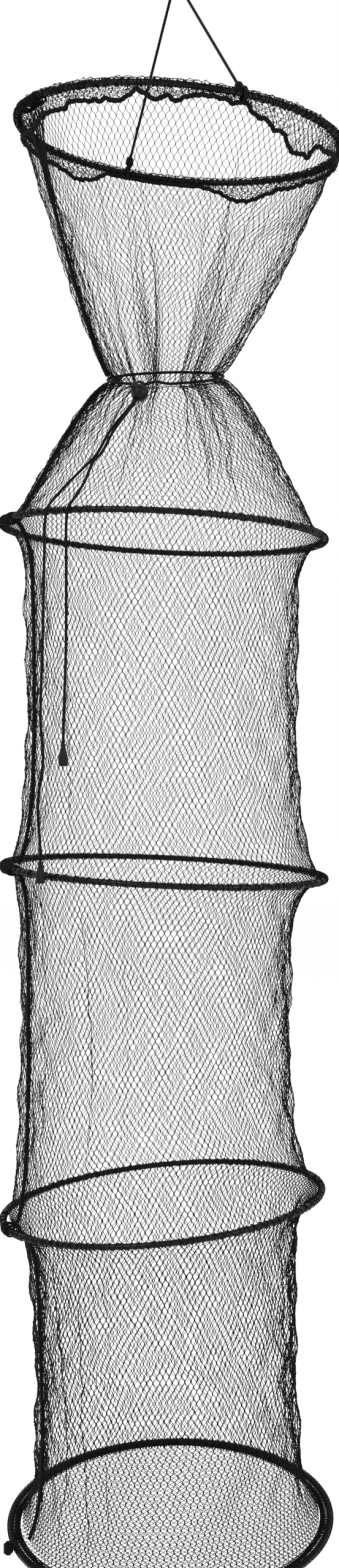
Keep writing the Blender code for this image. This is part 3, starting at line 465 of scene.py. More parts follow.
def braided_polyester(name, length):
    """Black braided polyester cord: matt, with a faint painted sheen, its colour lighter on the crowns of its
    crossing plaits.

    Real plaits of about 2 mm are too fine to show, so they are drawn near twice that.
    """
    material = blank_material(f"braided_cord_{name}", Roughness=0.6, IOR=1.55, Specular_IOR_Level=0.07)
    tree = material.node_tree
    place = add_node(tree, "ShaderNodeTexCoord")
    counted = add_node(tree, "ShaderNodeMapping", links={"Vector": place.outputs["UV"]},
                       inputs={"Scale": (length * PLAITS_ALONG, PLAITS_ROUND, 1.0)})
    parts = add_node(tree, "ShaderNodeSeparateXYZ", links={"Vector": counted.outputs["Vector"]})
    crowns = []
    for operation in ("ADD", "SUBTRACT"):
        slant = add_node(tree, "ShaderNodeMath", {"operation": operation},
                         links={0: parts.outputs["X"], 1: parts.outputs["Y"]})
        turn = add_node(tree, "ShaderNodeMath", {"operation": "MULTIPLY"}, {1: math.pi},
                        {0: slant.outputs[0]})
        wave = add_node(tree, "ShaderNodeMath", {"operation": "SINE"}, links={0: turn.outputs[0]})
        crowns.append(add_node(tree, "ShaderNodeMath", {"operation": "ABSOLUTE"}, links={0: wave.outputs[0]}))
    plait_and_sheen = add_node(tree, "ShaderNodeMath", {"operation": "MULTIPLY"},
                     links={0: crowns[0].outputs[0], 1: crowns[1].outputs[0]}).outputs[0]
    # Painted sheen: the base colour runs from 040405 between the plaits to 0d0d11 on their crowns, and the
    # same pattern raises the plaits by a bump
    return finish_surface(material, ("040405", "0d0d11"), plait_and_sheen, raised=(plait_and_sheen, *PLAIT_RAISED))


# Twisted nylon: dull black thread with paler patches of lint and a fine twist
NYLON = mottled("twisted_nylon_netting", ("060608", "121216"), LINT_PATCHES, ends=(0.35, 0.70),
                grain=(THREAD_TWISTS, 0.5, 0.1 * MM), Roughness=0.7, IOR=1.53, Specular_IOR_Level=0.08)
# Extruded PVC: fairly glossy black tube, with patches dulled by light scuffs
TUBE = mottled("extruded_pvc_tube", ("050506", "0c0c0e"), TUBE_SCUFFS, 4.0, dulled=(0.2, 0.42), IOR=1.53,
               Specular_IOR_Level=0.15)
# Injection-moulded ABS: half gloss, a little worn, with a spark-eroded grain that is drawn coarser than
# the real one, of under 0.1 mm, so that it shows
ABS = mottled("moulded_abs", ("050507", "0e0e10"), PLASTIC_WEAR, 3.0, grain=(PLASTIC_GRAIN, 0.35, 0.08 * MM),
              Roughness=0.42, IOR=1.54, Specular_IOR_Level=0.14)
# Drawn spring steel: bright, with fine marks of drawing that are drawn coarser than real so that they show
STEEL = mottled("drawn_spring_steel", ("b4b5b8", "d6d7da"), DRAWING_MARKS, Roughness=0.28, Metallic=1.0)
# Matt white paint on the studio's floor, with a faint roller texture
PAINT = mottled("matt_white_paint", ("fafafa", "ffffff"), ROLLER_MARKS, Roughness=0.9)


def unit(vectors):
    """Rows of vectors at length one."""
    return vectors / np.maximum(np.linalg.norm(vectors, axis=-1, keepdims=True), 1e-12)


def run_along(points):
    """Length along a line of points, from its first point to each."""
    steps = np.linalg.norm(np.diff(points, axis=0), axis=1)
    return np.concatenate([[0.0], np.cumsum(steps)])


def closed_run(points):
    """Length along a closed row of points, from its first point to each and back to the first."""
    return run_along(np.vstack([points, points[:1]]))


def length_of(points):
    """Length of a line of points."""
    return float(run_along(np.array(points))[-1])


def points_at(spots, run, line):
    """Points at given lengths along a line of points."""
    return np.stack([np.interp(spots, run, line[:, axis]) for axis in range(3)], -1)


def smooth_route(points, pitch):
    """Points at an even pitch along a smooth curve through the given points."""
    knots = [Vector(point) for point in points]
    ends = [2 * knots[0] - knots[1]] + knots + [2 * knots[-1] - knots[-2]]
    fine = []
    steps = 24
    for a, b, c, d in zip(ends, ends[1:], ends[2:], ends[3:]):
        for step in range(steps):
            t = step / steps
            fine.append(0.5 * (2 * b + (c - a) * t + (2 * a - 5 * b + 4 * c - d) * t**2
                               + (3 * b - a - 3 * c + d) * t**3))
    fine = np.array(fine + [knots[-1]])
    run = run_along(fine)
    return points_at(np.linspace(0.0, run[-1], max(2, round(run[-1] / pitch)) + 1), run, fine)


def helix(line, radius, pitch, lean, phase=0.0, steps=10):
    """A strand wound round a line of points, starting from the side that leans the given way."""
    line = np.array(line)
    run = run_along(line)
    even = np.linspace(0.0, run[-1], max(2, round(run[-1] / pitch * steps)) + 1)
    centre = points_at(even, run, line)
    tangent = unit(np.gradient(centre, axis=0))
    lean = np.broadcast_to(np.array(lean, float), centre.shape)
    side = unit(lean - tangent * (lean * tangent).sum(1, keepdims=True))
    angle = (2 * math.pi * even / pitch + phase)[:, None]
    return centre + radius * (side * np.cos(angle) + np.cross(tangent, side) * np.sin(angle))


def smooth_table(table, azimuth):
    """Reads a closed table of (azimuth, value) with a cosine ease between its entries."""
    starts = np.array([entry[0] for entry in table] + [table[0][0] + 360.0], float)
    values = np.array([entry[1] for entry in table] + [table[0][1]])
    azimuth = np.asarray(azimuth) % 360.0
    before = np.clip(np.searchsorted(starts, azimuth, side="right") - 1, 0, len(starts) - 2)
    along = (azimuth - starts[before]) / (starts[before + 1] - starts[before])
    return values[before] + (values[before + 1] - values[before]) * (0.5 - 0.5 * np.cos(math.pi * along))


def hoop_plane(node):
    """The plane of a hoop, fitted to its packed tube: its turn and its centre."""
    points = np.array([vertex.co for vertex in frame["nodes"][node].data.vertices])
    middle = points.mean(0)
    normal = np.linalg.svd(points - middle, full_matrices=False)[2][2]
    normal *= np.sign(normal[2])
    turn = np.array(Euler((-math.asin(normal[1]), math.atan2(normal[0], normal[2]), 0.0)).to_matrix())
    flat = ((points - middle) @ turn)[:, :2]
    system = np.column_stack([2 * flat, np.ones(len(flat))])
    aside = np.linalg.lstsq(system, (flat**2).sum(1), rcond=None)[0]
    return turn, middle + turn[:, :2] @ aside[:2]


def neck_plane():
    """The plane of the drawcord's loop."""
    turn = Euler((math.radians(NECK_HIGH_BACK), math.radians(NECK_LOW_RIGHT), 0.0)).to_matrix()
    return np.array(turn), np.array((NECK_ASIDE_SHARE * HOOP_RADIUS, 0.0, -NECK_DROP))


PLANES = {name: hoop_plane(f"{name}_hoop") for name in HOOP_BODIES}
PLANES["neck"] = neck_plane()


def on_plane(plane, radius, azimuth, height=0.0):
    """Points at radii and azimuths on a plane, lifted by a height."""
    turn, centre = PLANES[plane]
    angle = np.radians(azimuth)
    local = np.stack(np.broadcast_arrays(radius * np.cos(angle), radius * np.sin(angle), height), -1)
    return local @ turn.T + centre


def lacing_dip(azimuth):
    """How far the side lacing draws the netting in at an azimuth."""
    away = (azimuth - LACING_AZIMUTH + 180.0) % 360.0 - 180.0
    return LACING_PULL * np.exp(-((away / LACING_SPREAD) ** 2))


def hoop_edge(azimuth):
    """Radius of the netting where it meets a hoop."""
    return HOOP_RADIUS - TUBE_RADIUS - FIT - NET_WALL / 2 - lacing_dip(azimuth)


def bottom_edge(azimuth):
    """Radius of the last netting where it meets the bottom hoop's rope."""
    rope = HOOP_RADIUS - BOTTOM_ROPE_SET_IN - BOTTOM_ROPE_RADIUS
    return rope - 2 * FIT - 1.5 * NET_WALL - lacing_dip(azimuth) / 2


def neck_edge(azimuth):
    """Radius of the netting at the drawcord."""
    return NECK_RADIUS - NECK_DIP_SHARE * lacing_dip(azimuth)


# The netting's sections: each edge's plane, radius and height above that plane
HOOP_LIFT = FIT + NET_WALL / 2
NECK_LIFT = DRAWCORD_RADIUS + FIT + NET_WALL
CUFF_LIFT = CUFF_INNER_DROP + FIT
SECTIONS = {
    "mouth": ("mouth", hoop_edge, -CUFF_LIFT, "neck", neck_edge, NECK_LIFT),
    "neck": ("neck", neck_edge, -NECK_LIFT, "ring_2", hoop_edge, HOOP_LIFT),
    "bay_2": ("ring_2", hoop_edge, -HOOP_LIFT, "ring_3", hoop_edge, HOOP_LIFT),
    "bay_3": ("ring_3", hoop_edge, -HOOP_LIFT, "ring_4", hoop_edge, HOOP_LIFT),
    "bay_4": ("ring_4", hoop_edge, -HOOP_LIFT, "bottom", bottom_edge, HOOP_LIFT),
}


def upper_hold(section, share):
    """How much of its upper edge's width a section keeps at a share: straight in a bay, curved in a cone."""
    if section == "mouth":
        return (1.0 - share) ** MOUTH_CONE_POWER
    if section == "neck":
        return 1.0 - share**NECK_CONE_POWER
    return 1.0 - share


def wall(section, azimuth, share, out=0.0):
    """Points of a section's netting at azimuths and shares, moved outward."""
    azimuth = np.asarray(azimuth, float)
    upper, upper_radius, upper_height, lower, lower_radius, lower_height = SECTIONS[section]
    top = on_plane(upper, upper_radius(azimuth), azimuth, upper_height)
    foot = on_plane(lower, lower_radius(azimuth), azimuth, lower_height)
    top_centre, foot_centre = PLANES[upper][1], PLANES[lower][1]
    share = np.broadcast_to(share, azimuth.shape)
    down = share[..., None]
    hold = upper_hold(section, share)[..., None]
    spread = (top - top_centre) * hold + (foot - foot_centre) * (1.0 - hold)
    outward = unit(spread * (1.0, 1.0, 0.0))
    left, right = DRAWN_IN[section]
    side = np.cos(np.radians(azimuth))
    free = np.sqrt(np.clip(np.sin(math.pi * share), 0.0, 1.0))
    pull = np.where(side < 0.0, -side * left, side * right) * free
    if section in WAISTS:
        waist, ease = WAISTS[section]
        height = np.linalg.norm(top - foot, axis=-1)
        below = 1.0 - np.exp(-share * height / FLARE_BELOW)
        above = 1.0 - np.exp(-(1.0 - share) * height / FLARE_ABOVE)
        pull = pull + waist * (1.0 + ease * side) * below * above
    point = top_centre + (foot_centre - top_centre) * down + spread
    point[..., 2] = (top + (foot - top) * down)[..., 2]
    return point + outward * np.broadcast_to(out - pull, share.shape)[..., None]


class Folds:
    """Upright folds of a section's netting, deeper where the netting is drawn in."""

    def __init__(self, seed, little, main, slack_power):
        draw = np.random.default_rng(seed)
        self.slack_power = slack_power
        beside = (np.arange(little) + draw.uniform(-0.4, 0.4, little)) * 360.0 / little
        self.above = np.concatenate([beside, [fold[0] for fold in main]])
        self.below = np.concatenate([beside, [fold[1] for fold in main]])
        count = len(self.above)
        light = draw.uniform(*LITTLE_FOLD_WEIGHTS, little)
        self.weights = [np.concatenate([light, [fold[edge] for fold in main]]) for edge in (2, 3)]
        self.widths = draw.uniform(*FOLD_WIDTHS, count)
        self.phases = draw.uniform(0.0, 2 * math.pi, count)
        self.leans = draw.uniform(-FOLD_LEAN, FOLD_LEAN, count)
        self.waves = draw.uniform(0.0, 2 * math.pi, (5, 3))
        self.turns = draw.integers(2, 9, 5)
        self.climbs = draw.uniform(0.5, 2.5, 5)

    def shift(self, azimuth, share, run):
        """How far in and how far aside the netting lies, where its line round runs this long unfolded."""
        turn = (self.below - self.above + 180.0) % 360.0 - 180.0
        middle = math.sin(math.pi * share)
        place = self.above + turn * share + FOLD_SWAY * middle * np.sin(SWAY_WAVE * share + self.phases)
        away = (azimuth[:, None] - place + 180.0) % 360.0 - 180.0
        away = away * run / 360.0
        full = NATURAL_ROUND * (min(run, NATURAL_ROUND) / NATURAL_ROUND) ** self.slack_power
        weights = self.weights[0] * (1.0 - share) + self.weights[1] * share
        waver = np.sin(DEPTH_WAVE * share + 2 * self.phases)
        weights = weights * (1.0 + DEPTH_WAVER_SHARE * middle * waver)
        depths = max(0.0, full - run) / 2 * weights / weights.sum()
        each = depths * np.exp(-((away / self.widths) ** 2))
        return each.sum(1), (each * self.leans).sum(1)

    def drift(self, turn, share, kind):
        """A slow wander of columns, rows or the wall (kind 0, 1 or 2), between about -1 and 1."""
        total = 0.0
        for turns, climb, phases in zip(self.turns, self.climbs, self.waves):
            total = total + np.sin(2 * math.pi * (turn * turns + share * climb) + phases[kind])
        return total / len(self.turns)


FOLDS = {name: Folds(seed, BAY_LITTLE_FOLDS, main, BAY_SLACK_POWER)
         for seed, (name, main) in enumerate(BAY_FOLDS.items(), 13)}
for EDGE, NAME in enumerate(("mouth", "neck")):
    MAIN = [(fold[EDGE], fold[EDGE + 1], fold[EDGE + 3], fold[EDGE + 4]) for fold in NECK_FOLDS]
    FOLDS[NAME] = Folds(NECK_FOLDS_SEED, NECK_LITTLE_FOLDS, MAIN, NECK_SLACK_POWER)


def edge_fade(section, share, at_neck=False):
    """How free of its two edges a section's netting is, from 0 at an edge towards 1."""
    upper, lower = SECTIONS[section][0], SECTIONS[section][3]
    height = np.linalg.norm(PLANES[upper][1] - PLANES[lower][1])
    fade = 1.0
    for edge, away in ((upper, share), (lower, 1.0 - share)):
        if edge != "neck" or at_neck:
            fade *= 1.0 - math.exp(-away * height / FOLD_FADE)
    return fade


def row_of(section, share):
    """The netting's closed line round a section, folds and all, at one share of the way down."""
    run = closed_run(wall(section, AZIMUTHS, share))[-1]
    folds = FOLDS[section]
    inward, aside = folds.shift(AZIMUTHS, share, run)
    fade = edge_fade(section, share)
    ripple = sum(np.sin(2 * math.pi * (AZIMUTHS / 360.0 * around + share * down))
                 for around, down in zip(RIPPLES_ROUND, RIPPLES_DOWN)) / 2
    swell = SWELL * folds.drift(AZIMUTHS / 180.0, 2.0 * share, 2) + RIPPLE * ripple
    swell = swell * edge_fade(section, share, True)
    angle = np.radians(AZIMUTHS)
    around = np.stack([-np.sin(angle), np.cos(angle), np.zeros_like(angle)], -1)
    return wall(section, AZIMUTHS, share, swell - inward * fade) + around * (aside * fade)[:, None]


def row_shares(section):
    """Shares of the way down at which rows of joins lie: closer where the meshes are pulled wide."""
    fine = np.linspace(0.0, 1.0, RUN_PLACES)
    half_width = np.array([closed_run(row_of(section, share))[-1] for share in fine]) / COLUMNS
    pitch = JOIN_LENGTH + np.sqrt(BAR_LENGTH**2 - np.minimum(half_width, WIDEST_MESH_SHARE * BAR_LENGTH) ** 2)
    plain = [wall(section, AZIMUTHS, share) for share in fine]
    steps = np.array([np.linalg.norm(low - high, axis=1).mean() for high, low in zip(plain, plain[1:])])
    count = np.concatenate([[0.0], np.cumsum(steps * 2 / (pitch[1:] + pitch[:-1]))])
    rows = 2 * round(count[-1] / 2)
    return np.interp(np.linspace(0.0, count[-1], rows + 1), count, fine)


def row_of_joins(section, share, draw):
    """One row of the netting's joins."""
    folds = FOLDS[section]
    turn = np.arange(COLUMNS) / COLUMNS
    loop = row_of(section, share)
    run = closed_run(loop)
    fade = edge_fade(section, share, True)
    columns = turn + fade * COLUMN_DRIFT / COLUMNS * folds.drift(turn, share, 0)
    row = points_at((columns % 1.0) * run[-1], run, np.vstack([loop, loop[:1]]))
    row[:, 2] += fade * ROW_DRIFT * folds.drift(turn, share, 1)
    return row + fade * JOIN_SCATTER * draw.normal(size=row.shape)


def under_drawcord():
    """The row of joins that the drawcord gathers, just inside it."""
    draw = np.random.default_rng(GATHERED_ROW_SEED)
    row = (row_of_joins("mouth", 1.0, draw) + row_of_joins("neck", 0.0, draw)) / 2
    return row - unit((row - PLANES["neck"][1]) * (1.0, 1.0, 0.0)) * (DRAWCORD_RADIUS + 2 * FIT)


def join_grid(section):
    """Places of the netting's joins: an array of rows by columns."""
    draw = np.random.default_rng(NETTING_SEEDS[section])
    rows = [row_of_joins(section, share, draw) for share in row_shares(section)]
    if section == "mouth":
        rows.append(under_drawcord())
    if section == "neck":
        rows.insert(0, under_drawcord())
    return np.array(rows)


def weave(grid):
    """Lines of the threads through a grid of joins: each swings between two columns."""
    rows, columns = grid.shape[:2]
    across = unit(np.roll(grid, -1, axis=1) - np.roll(grid, 1, axis=1))
    along = unit(np.gradient(grid, axis=0))
    threads = np.arange(columns)
    lines = np.empty((columns, 2 * rows, 3))
    for row in range(rows):
        swings = (threads + row) % 2
        column = (threads + swings) % columns
        side = np.where(swings == 0, 1.0, -1.0)[:, None]
        join = grid[row, column] + across[row, column] * side * JOIN_GAP
        half = along[row, column] * JOIN_LENGTH / 2
        lines[:, 2 * row] = join - half
        lines[:, 2 * row + 1] = join + half
    lines[:, 0] = grid[0, (threads + threads % 2) % columns]
    lines[:, -1] = grid[-1, (threads + (threads + rows - 1) % 2) % columns]
    return lines


def joins(grid):
    """Short upright lines where two threads run together, one a join."""
    rows, columns = grid.shape[:2]
    along = unit(np.gradient(grid, axis=0)) * JOIN_LENGTH / 2
    return [grid[row, column] + along[row, column] * [[-1.0], [1.0]]
            for row in range(1, rows - 1) for column in range(row % 2, columns, 2)]


def round_profile(radius, sides):
    """A round outline that a curve is bevelled with."""
    outline = bpy.data.curves.new("outline", "CURVE")
    outline.dimensions = "2D"
    ring = outline.splines.new("POLY")
    ring.points.add(sides - 1)
    for side, point in enumerate(ring.points):
        angle = 2 * math.pi * side / sides
        point.co = (radius * math.cos(angle), radius * math.sin(angle), 0.0, 1.0)
    ring.use_cyclic_u = True
    return link(bpy.data.objects.new("outline", outline))


def carried(thing, by, stands_for=()):
    """Makes a piece ride on a body, or bakes its transform into its mesh where it is given a span, and hides
    the imported nodes that it stands for.
    """
    if isinstance(by, str):
        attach(thing, by)
    else:
        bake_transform(thing)
    if stands_for:
        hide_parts(*stands_for)
    return thing


def strands(name, lines, radius, by, stands_for=(), sides=3, material=NYLON, closed=False,
            thick_lines=()):
    """Threads or cords along lines of points, as one carried mesh with capped and welded ends."""
    curve = bpy.data.curves.new(name, "CURVE")
    curve.dimensions = "3D"
    curve.bevel_mode = "OBJECT"
    curve.bevel_object = round_profile(radius, sides)
    curve.use_fill_caps = True
    for line, scale in [(line, 1.0) for line in lines] + [(line, JOIN_THICKER) for line in thick_lines]:
        spline = curve.splines.new("POLY")
        spline.points.add(len(line) - 1)
        spline.points.foreach_set("co", np.column_stack([line, np.ones(len(line))]).ravel())
        spline.points.foreach_set("radius", np.full(len(line), scale))
        spline.use_cyclic_u = closed
        spline.use_smooth = True
    drawn = link(bpy.data.objects.new(name, curve))
    drawn.modifiers.new("weld", "WELD").merge_threshold = STRAND_WELD
    mesh = evaluated_mesh(drawn)
    outline = curve.bevel_object
    bpy.data.objects.remove(drawn)
    bpy.data.objects.remove(outline)
    mesh.name = name
    mesh.materials.clear()
    mesh.materials.append(material)
    return carried(link(bpy.data.objects.new(name, mesh)), by, stands_for)


def laid_rope(name, line, offset, ply_radius, lay, lean, steps, by, stands_for):
    """A rope of three strands laid round a line of points."""
    phases = (0.0, 2 * math.pi / 3, 4 * math.pi / 3)
    plies = [helix(line, offset, lay, lean, phase, steps) for phase in phases]
    strands(name, plies, ply_radius, by, stands_for, PLY_SIDES)


def joint_place(name):
    """A joint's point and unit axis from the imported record."""
    joint = JOINTS[name]
    return Vector(joint["pos_m"]), Vector(joint["axis"]).normalized()


# The cord lock's own directions: the button's way out, the tails' way out and across both
LOCK_CENTRE, PRESS = joint_place("button_press")
BUTTON = -PRESS
SLIDE = joint_place("lock_slide")[1]
LEAVE = (SLIDE - BUTTON * SLIDE.dot(BUTTON)).normalized()
BESIDE = BUTTON.cross(LEAVE)
PAIR = DRAWCORD_RADIUS + FIT
LOCK_LOWEST = LOCK_CENTRE.z + SLIDE.z * LOCK_TRAVEL - LOCK_RADIUS - LOCK_CLEARANCE


def between(body_a, body_b, start, end):
    """A span between two bodies: the two bodies and the two heights."""
    return body_a, body_b, (0.0, 0.0, start), (0.0, 0.0, end)


def plane_reach(plane):
    """Half the height that a tilted plane covers at its radius."""
    turn = PLANES[plane][0]
    return (NECK_RADIUS if plane == "neck" else HOOP_RADIUS) * math.hypot(turn[2, 0], turn[2, 1])


def span_of(section):
    """The span of a section's netting, clear of its two tilted edges."""
    upper, _, upper_height, lower, _, lower_height = SECTIONS[section]
    margin = 6 * MM
    start = PLANES[upper][1][2] + upper_height - plane_reach(upper) - margin
    end = PLANES[lower][1][2] + lower_height + plane_reach(lower) + margin
    return between(HOOP_BODIES.get(upper, upper), HOOP_BODIES.get(lower, lower), start, end)


SPANS = {section: span_of(section) for section in SECTIONS}
# The neck cone's span starts below the cord lock's lowest place, clear of the ball
SPANS["neck"] = between("neck", "ring_2", LOCK_LOWEST, SPANS["neck"][3][2])


def braided_cord(name, points, radius, by, stands_for, sides=12):
    """A round braided cord along points."""
    points = np.array(points)
    finish = braided_polyester(name, length_of(points))
    return strands(name, [points], radius, by, stands_for, sides, finish)


def coil_knot(name, foot, way, radius, length, cord_radius, turns, by, node):
    """A knot of close turns of cord, from its foot along a way."""
    way = Vector(way).normalized()
    wound = length - 2 * cord_radius
    line = [foot + way * (cord_radius + wound * step / KNOT_STEPS) for step in range(KNOT_STEPS + 1)]
    pitch = wound / turns
    winding = helix(line, radius - cord_radius, pitch, way.orthogonal(), steps=14)
    core_radius = radius - KNOT_CORE_INSIDE * cord_radius
    strands(f"{name}_core", [np.array([foot, foot + way * length])], core_radius, by, (), 10)
    return braided_cord(name, winding, cord_radius, by, (node,), 10)


def faceted(radius, azimuth):
    """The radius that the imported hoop's straight facets leave at an azimuth."""
    step = 360.0 / HOOP_FACETS
    away = (azimuth - JOINT_AZIMUTH) % step - step / 2
    return radius * math.cos(math.radians(step / 2)) / math.cos(math.radians(away))


def make_hanging_loop():
    """The loop that the net hangs by, and the knot below it."""
    half = LOOP_HALF_WIDTH
    foot = -LOOP_LENGTH + FIT
    crown = -BRIDLE_RADIUS
    gap = BRIDLE_RADIUS + FIT
    up = [(gap, foot), (gap, foot + half * 0.4), (half * 0.8, foot + half * 1.4), (half, crown - half * 1.1),
          (half * 0.7, crown - half * 0.3)]
    route = [(-x, 0.0, z) for x, z in up] + [(0.0, 0.0, crown)] + [(x, 0.0, z) for x, z in reversed(up)]
    route = smooth_route(route, BRIDLE_RADIUS)
    loop = braided_cord("hanging_cord_loop", route, BRIDLE_RADIUS, "bridle", ("hanging_loop",))
    apex = Vector((0.0, 0.0, -LOOP_LENGTH - APEX_KNOT_LENGTH))
    coil_knot("apex_knot_turns", apex, (0.0, 0.0, 1.0), APEX_KNOT_RADIUS, APEX_KNOT_LENGTH,
              BRIDLE_RADIUS, 5, "bridle", "bridle_apex_knot")
    return apex


def make_bridle_leg(side, azimuth, apex):
    """A leg of the bridle with its knot and its hitch round the mouth hoop."""
    point = Vector(on_plane("mouth", faceted(HOOP_RADIUS, azimuth), azimuth))
    up = (apex - point).normalized()
    hitch_radius = TUBE_RADIUS + 1.5 * NET_WALL + 3 * FIT + HITCH_CORD_RADIUS
    foot = hitch_radius + HITCH_CORD_RADIUS + FIT
    start = point + up * (foot + ANCHOR_KNOT_LENGTH) + up * FIT
    end = apex + Vector((-up.x, -up.y, 0.0)).normalized() * (BRIDLE_RADIUS + FIT)
    bend = end - Vector((0.0, 0.0, 2 * BRIDLE_RADIUS))
    leg = [start.lerp(bend, share) for share in (0.0, 0.3, 0.6, 0.94, 1.0)] + [end]
    leg = smooth_route(leg, BRIDLE_RADIUS * 2)
    cord = braided_cord(f"bridle_cord_{side}", leg, BRIDLE_RADIUS, "bridle", (f"bridle_leg_{side}",))
    turns = coil_knot(f"bridle_knot_turns_{side}", point + up * foot, up, ANCHOR_KNOT_RADIUS,
                      ANCHOR_KNOT_LENGTH, BRIDLE_RADIUS, 4, "bridle", f"bridle_knot_{side}")
    angle = math.radians(azimuth)
    tangent = Vector(PLANES["mouth"][0] @ Vector((-math.sin(angle), math.cos(angle), 0.0)))
    axle = [point + tangent * HITCH_CORD_RADIUS * (step / 10 - 1.0) for step in range(21)]
    winding = helix(axle, hitch_radius, HITCH_CORD_RADIUS, up, steps=24)
    braided_cord(f"bridle_hitch_turns_{side}", winding, HITCH_CORD_RADIUS, "bridle",
                 (f"bridle_hitch_{side}",), sides=10)


def make_drawcord():
    """The drawcord: out of the lock, round the neck and back through the lock."""
    reach = LOCK_RADIUS + 2 * FIT
    lanes = [LOCK_CENTRE - BESIDE * PAIR, LOCK_CENTRE + BESIDE * PAIR]
    covered = 360.0 - 2 * DRAWCORD_SPREAD
    steps = np.arange(DRAWCORD_STEPS + 1)
    azimuths = LOCK_AZIMUTH - 360.0 + DRAWCORD_SPREAD + covered * steps / DRAWCORD_STEPS
    loop = [Vector(point) for point in on_plane("neck", NECK_RADIUS, azimuths)]
    lanes.sort(key=lambda lane: (lane - loop[0]).length)
    leads = []
    for lane, far in zip(lanes, (loop[0], loop[-1])):
        entry = lane - LEAVE * reach
        straight = entry - LEAVE * DRAWCORD_RADIUS
        arch = straight.lerp(far, 0.5) + Vector((0.0, 0.0, LOCK_RADIUS * DRAWCORD_ARCH_SHARE))
        leads.append([entry, straight, arch])
    outside = smooth_route(leads[0] + loop + list(reversed(leads[1])), DRAWCORD_RADIUS * 2)
    route = [lanes[0] + LEAVE * reach, lanes[0], *outside, lanes[1], lanes[1] + LEAVE * reach]
    braided_cord("drawcord_loop", route, DRAWCORD_RADIUS, "neck", ("drawcord",))


def turned(name, profile, material, steps, flutes=0, flute_depth=0.0):
    """A profile of (radius, height) spun round Z and closed, with upright flutes if asked for."""
    shape = bmesh.new()
    spots = [shape.verts.new((radius, 0.0, height)) for radius, height in profile]
    edges = [shape.edges.new(pair) for pair in zip(spots, spots[1:])]
    if profile[0][0] > 0.0 and profile[-1][0] > 0.0:
        edges.append(shape.edges.new((spots[-1], spots[0])))
    bmesh.ops.spin(shape, geom=spots + edges, axis=(0.0, 0.0, 1.0), cent=(0.0, 0.0, 0.0),
                   angle=2 * math.pi, steps=steps, use_merge=True)
    bmesh.ops.remove_doubles(shape, verts=shape.verts, dist=TURNED_WELD)
    if flutes:
        for vertex in shape.verts:
            around = math.atan2(vertex.co.y, vertex.co.x)
            out = math.hypot(vertex.co.x, vertex.co.y)
            dip = 1.0 - flute_depth * (0.5 - 0.5 * math.cos(flutes * around)) / max(out, MM)
            vertex.co.x *= dip
            vertex.co.y *= dip
    bmesh.ops.recalc_face_normals(shape, faces=shape.faces)
    thing = solid(name, shape, material)
    thing.data.set_sharp_from_angle(angle=math.radians(SHARP_ANGLE))
    return thing


def make_bell(name, tip):
    """A fluted bell on a tail's end, with the cord's bore through its neck."""
    bore = DRAWCORD_RADIUS
    mouth = BELL_RADIUS * 1.02
    profile = [(bore, 0.0), (BELL_NECK_RADIUS * 0.92, 0.0), (BELL_NECK_RADIUS, -BELL_NECK_ROUNDING),
               (BELL_NECK_RADIUS, -BELL_LENGTH * 0.20), (BELL_SHOULDER_RADIUS, -BELL_LENGTH * 0.24)]
    for step in range(11):
        share = step / 10
        swell = math.sin(math.pi / 2 * min(1.0, share / BELL_WIDEST_SHARE))
        past = max(0.0, (share - BELL_WIDEST_SHARE) / (1.0 - BELL_WIDEST_SHARE))
        swell -= BELL_DRAWN_IN_SHARE * past**2
        radius = BELL_SHOULDER_RADIUS + (mouth - BELL_SHOULDER_RADIUS) * swell
        profile.append((radius, -BELL_LENGTH * (0.27 + 0.72 * share)))
    rim = profile[-1][0]
    profile += [(rim * 0.95, -BELL_LENGTH), (rim - BELL_WALL, -BELL_LENGTH),
                (rim - BELL_WALL, -BELL_LENGTH * 0.93), (BELL_RADIUS * 0.5, -BELL_LENGTH * 0.4),
                (bore * 1.1, -BELL_CAP), (bore, -BELL_CAP)]
    bell = turned(f"fluted_bell_{name}", profile, ABS, 72, BELL_FLUTES, BELL_FLUTE_DEPTH)
    bell.data.transform(Matrix.Translation(tip))
    return carried(bell, f"tail_{name}", (f"cord_end_{name}",))


def make_tail(name, side_sign, over, down, end):
    """A free tail of the drawcord: its part on the netting, its hanging part and its bell."""
    start = LOCK_CENTRE + BESIDE * PAIR * side_sign + LEAVE * (LOCK_RADIUS + 3 * FIT)
    tip = Vector(end)
    through = tip - Vector((0.0, 0.0, BELL_CAP + DRAWCORD_RADIUS))
    route = smooth_route([start, start + LEAVE * LOCK_RADIUS * 0.5, *over, *down, tip], DRAWCORD_RADIUS * 6)
    middles = (route[1:] + route[:-1]) / 2
    last = int(np.linalg.norm(middles - np.array(over[-1]), axis=1).argmin())
    parting = middles[last]
    half_gap = unit(route[last + 1] - route[last]) * FIT / 2
    upper = np.vstack([route[: last + 1], parting - half_gap])
    lower = np.vstack([parting + half_gap, route[last + 1:], through])
    bell = make_bell(name, tip)
    pair = [("over", upper, SPANS["neck"], "upper", "object", []),
            ("hanging", lower, f"tail_{name}", "hanging", "fitting", [bell])]
    for part, line, by, node, far_end, with_pieces in pair:
        line = smooth_route(line, DRAWCORD_RADIUS * 2)
        cord = braided_cord(f"tail_{name}_{part}_cord", line, DRAWCORD_RADIUS, by, (f"tail_{name}_{node}",))


def make_netting(section):
    """The netting of a section, thread by thread, in two halves."""
    grid = join_grid(section)
    threads, marks = weave(grid), joins(grid)
    radius = THREAD_RADIUS * THREAD_THICKER[section]
    middle = len(threads) // 2
    strands(f"netting_{section}_back", threads[:middle], radius, SPANS[section], (f"net_{section}",),
            thick_lines=marks[0::2])
    strands(f"netting_{section}_front", threads[middle:], radius, SPANS[section], thick_lines=marks[1::2])


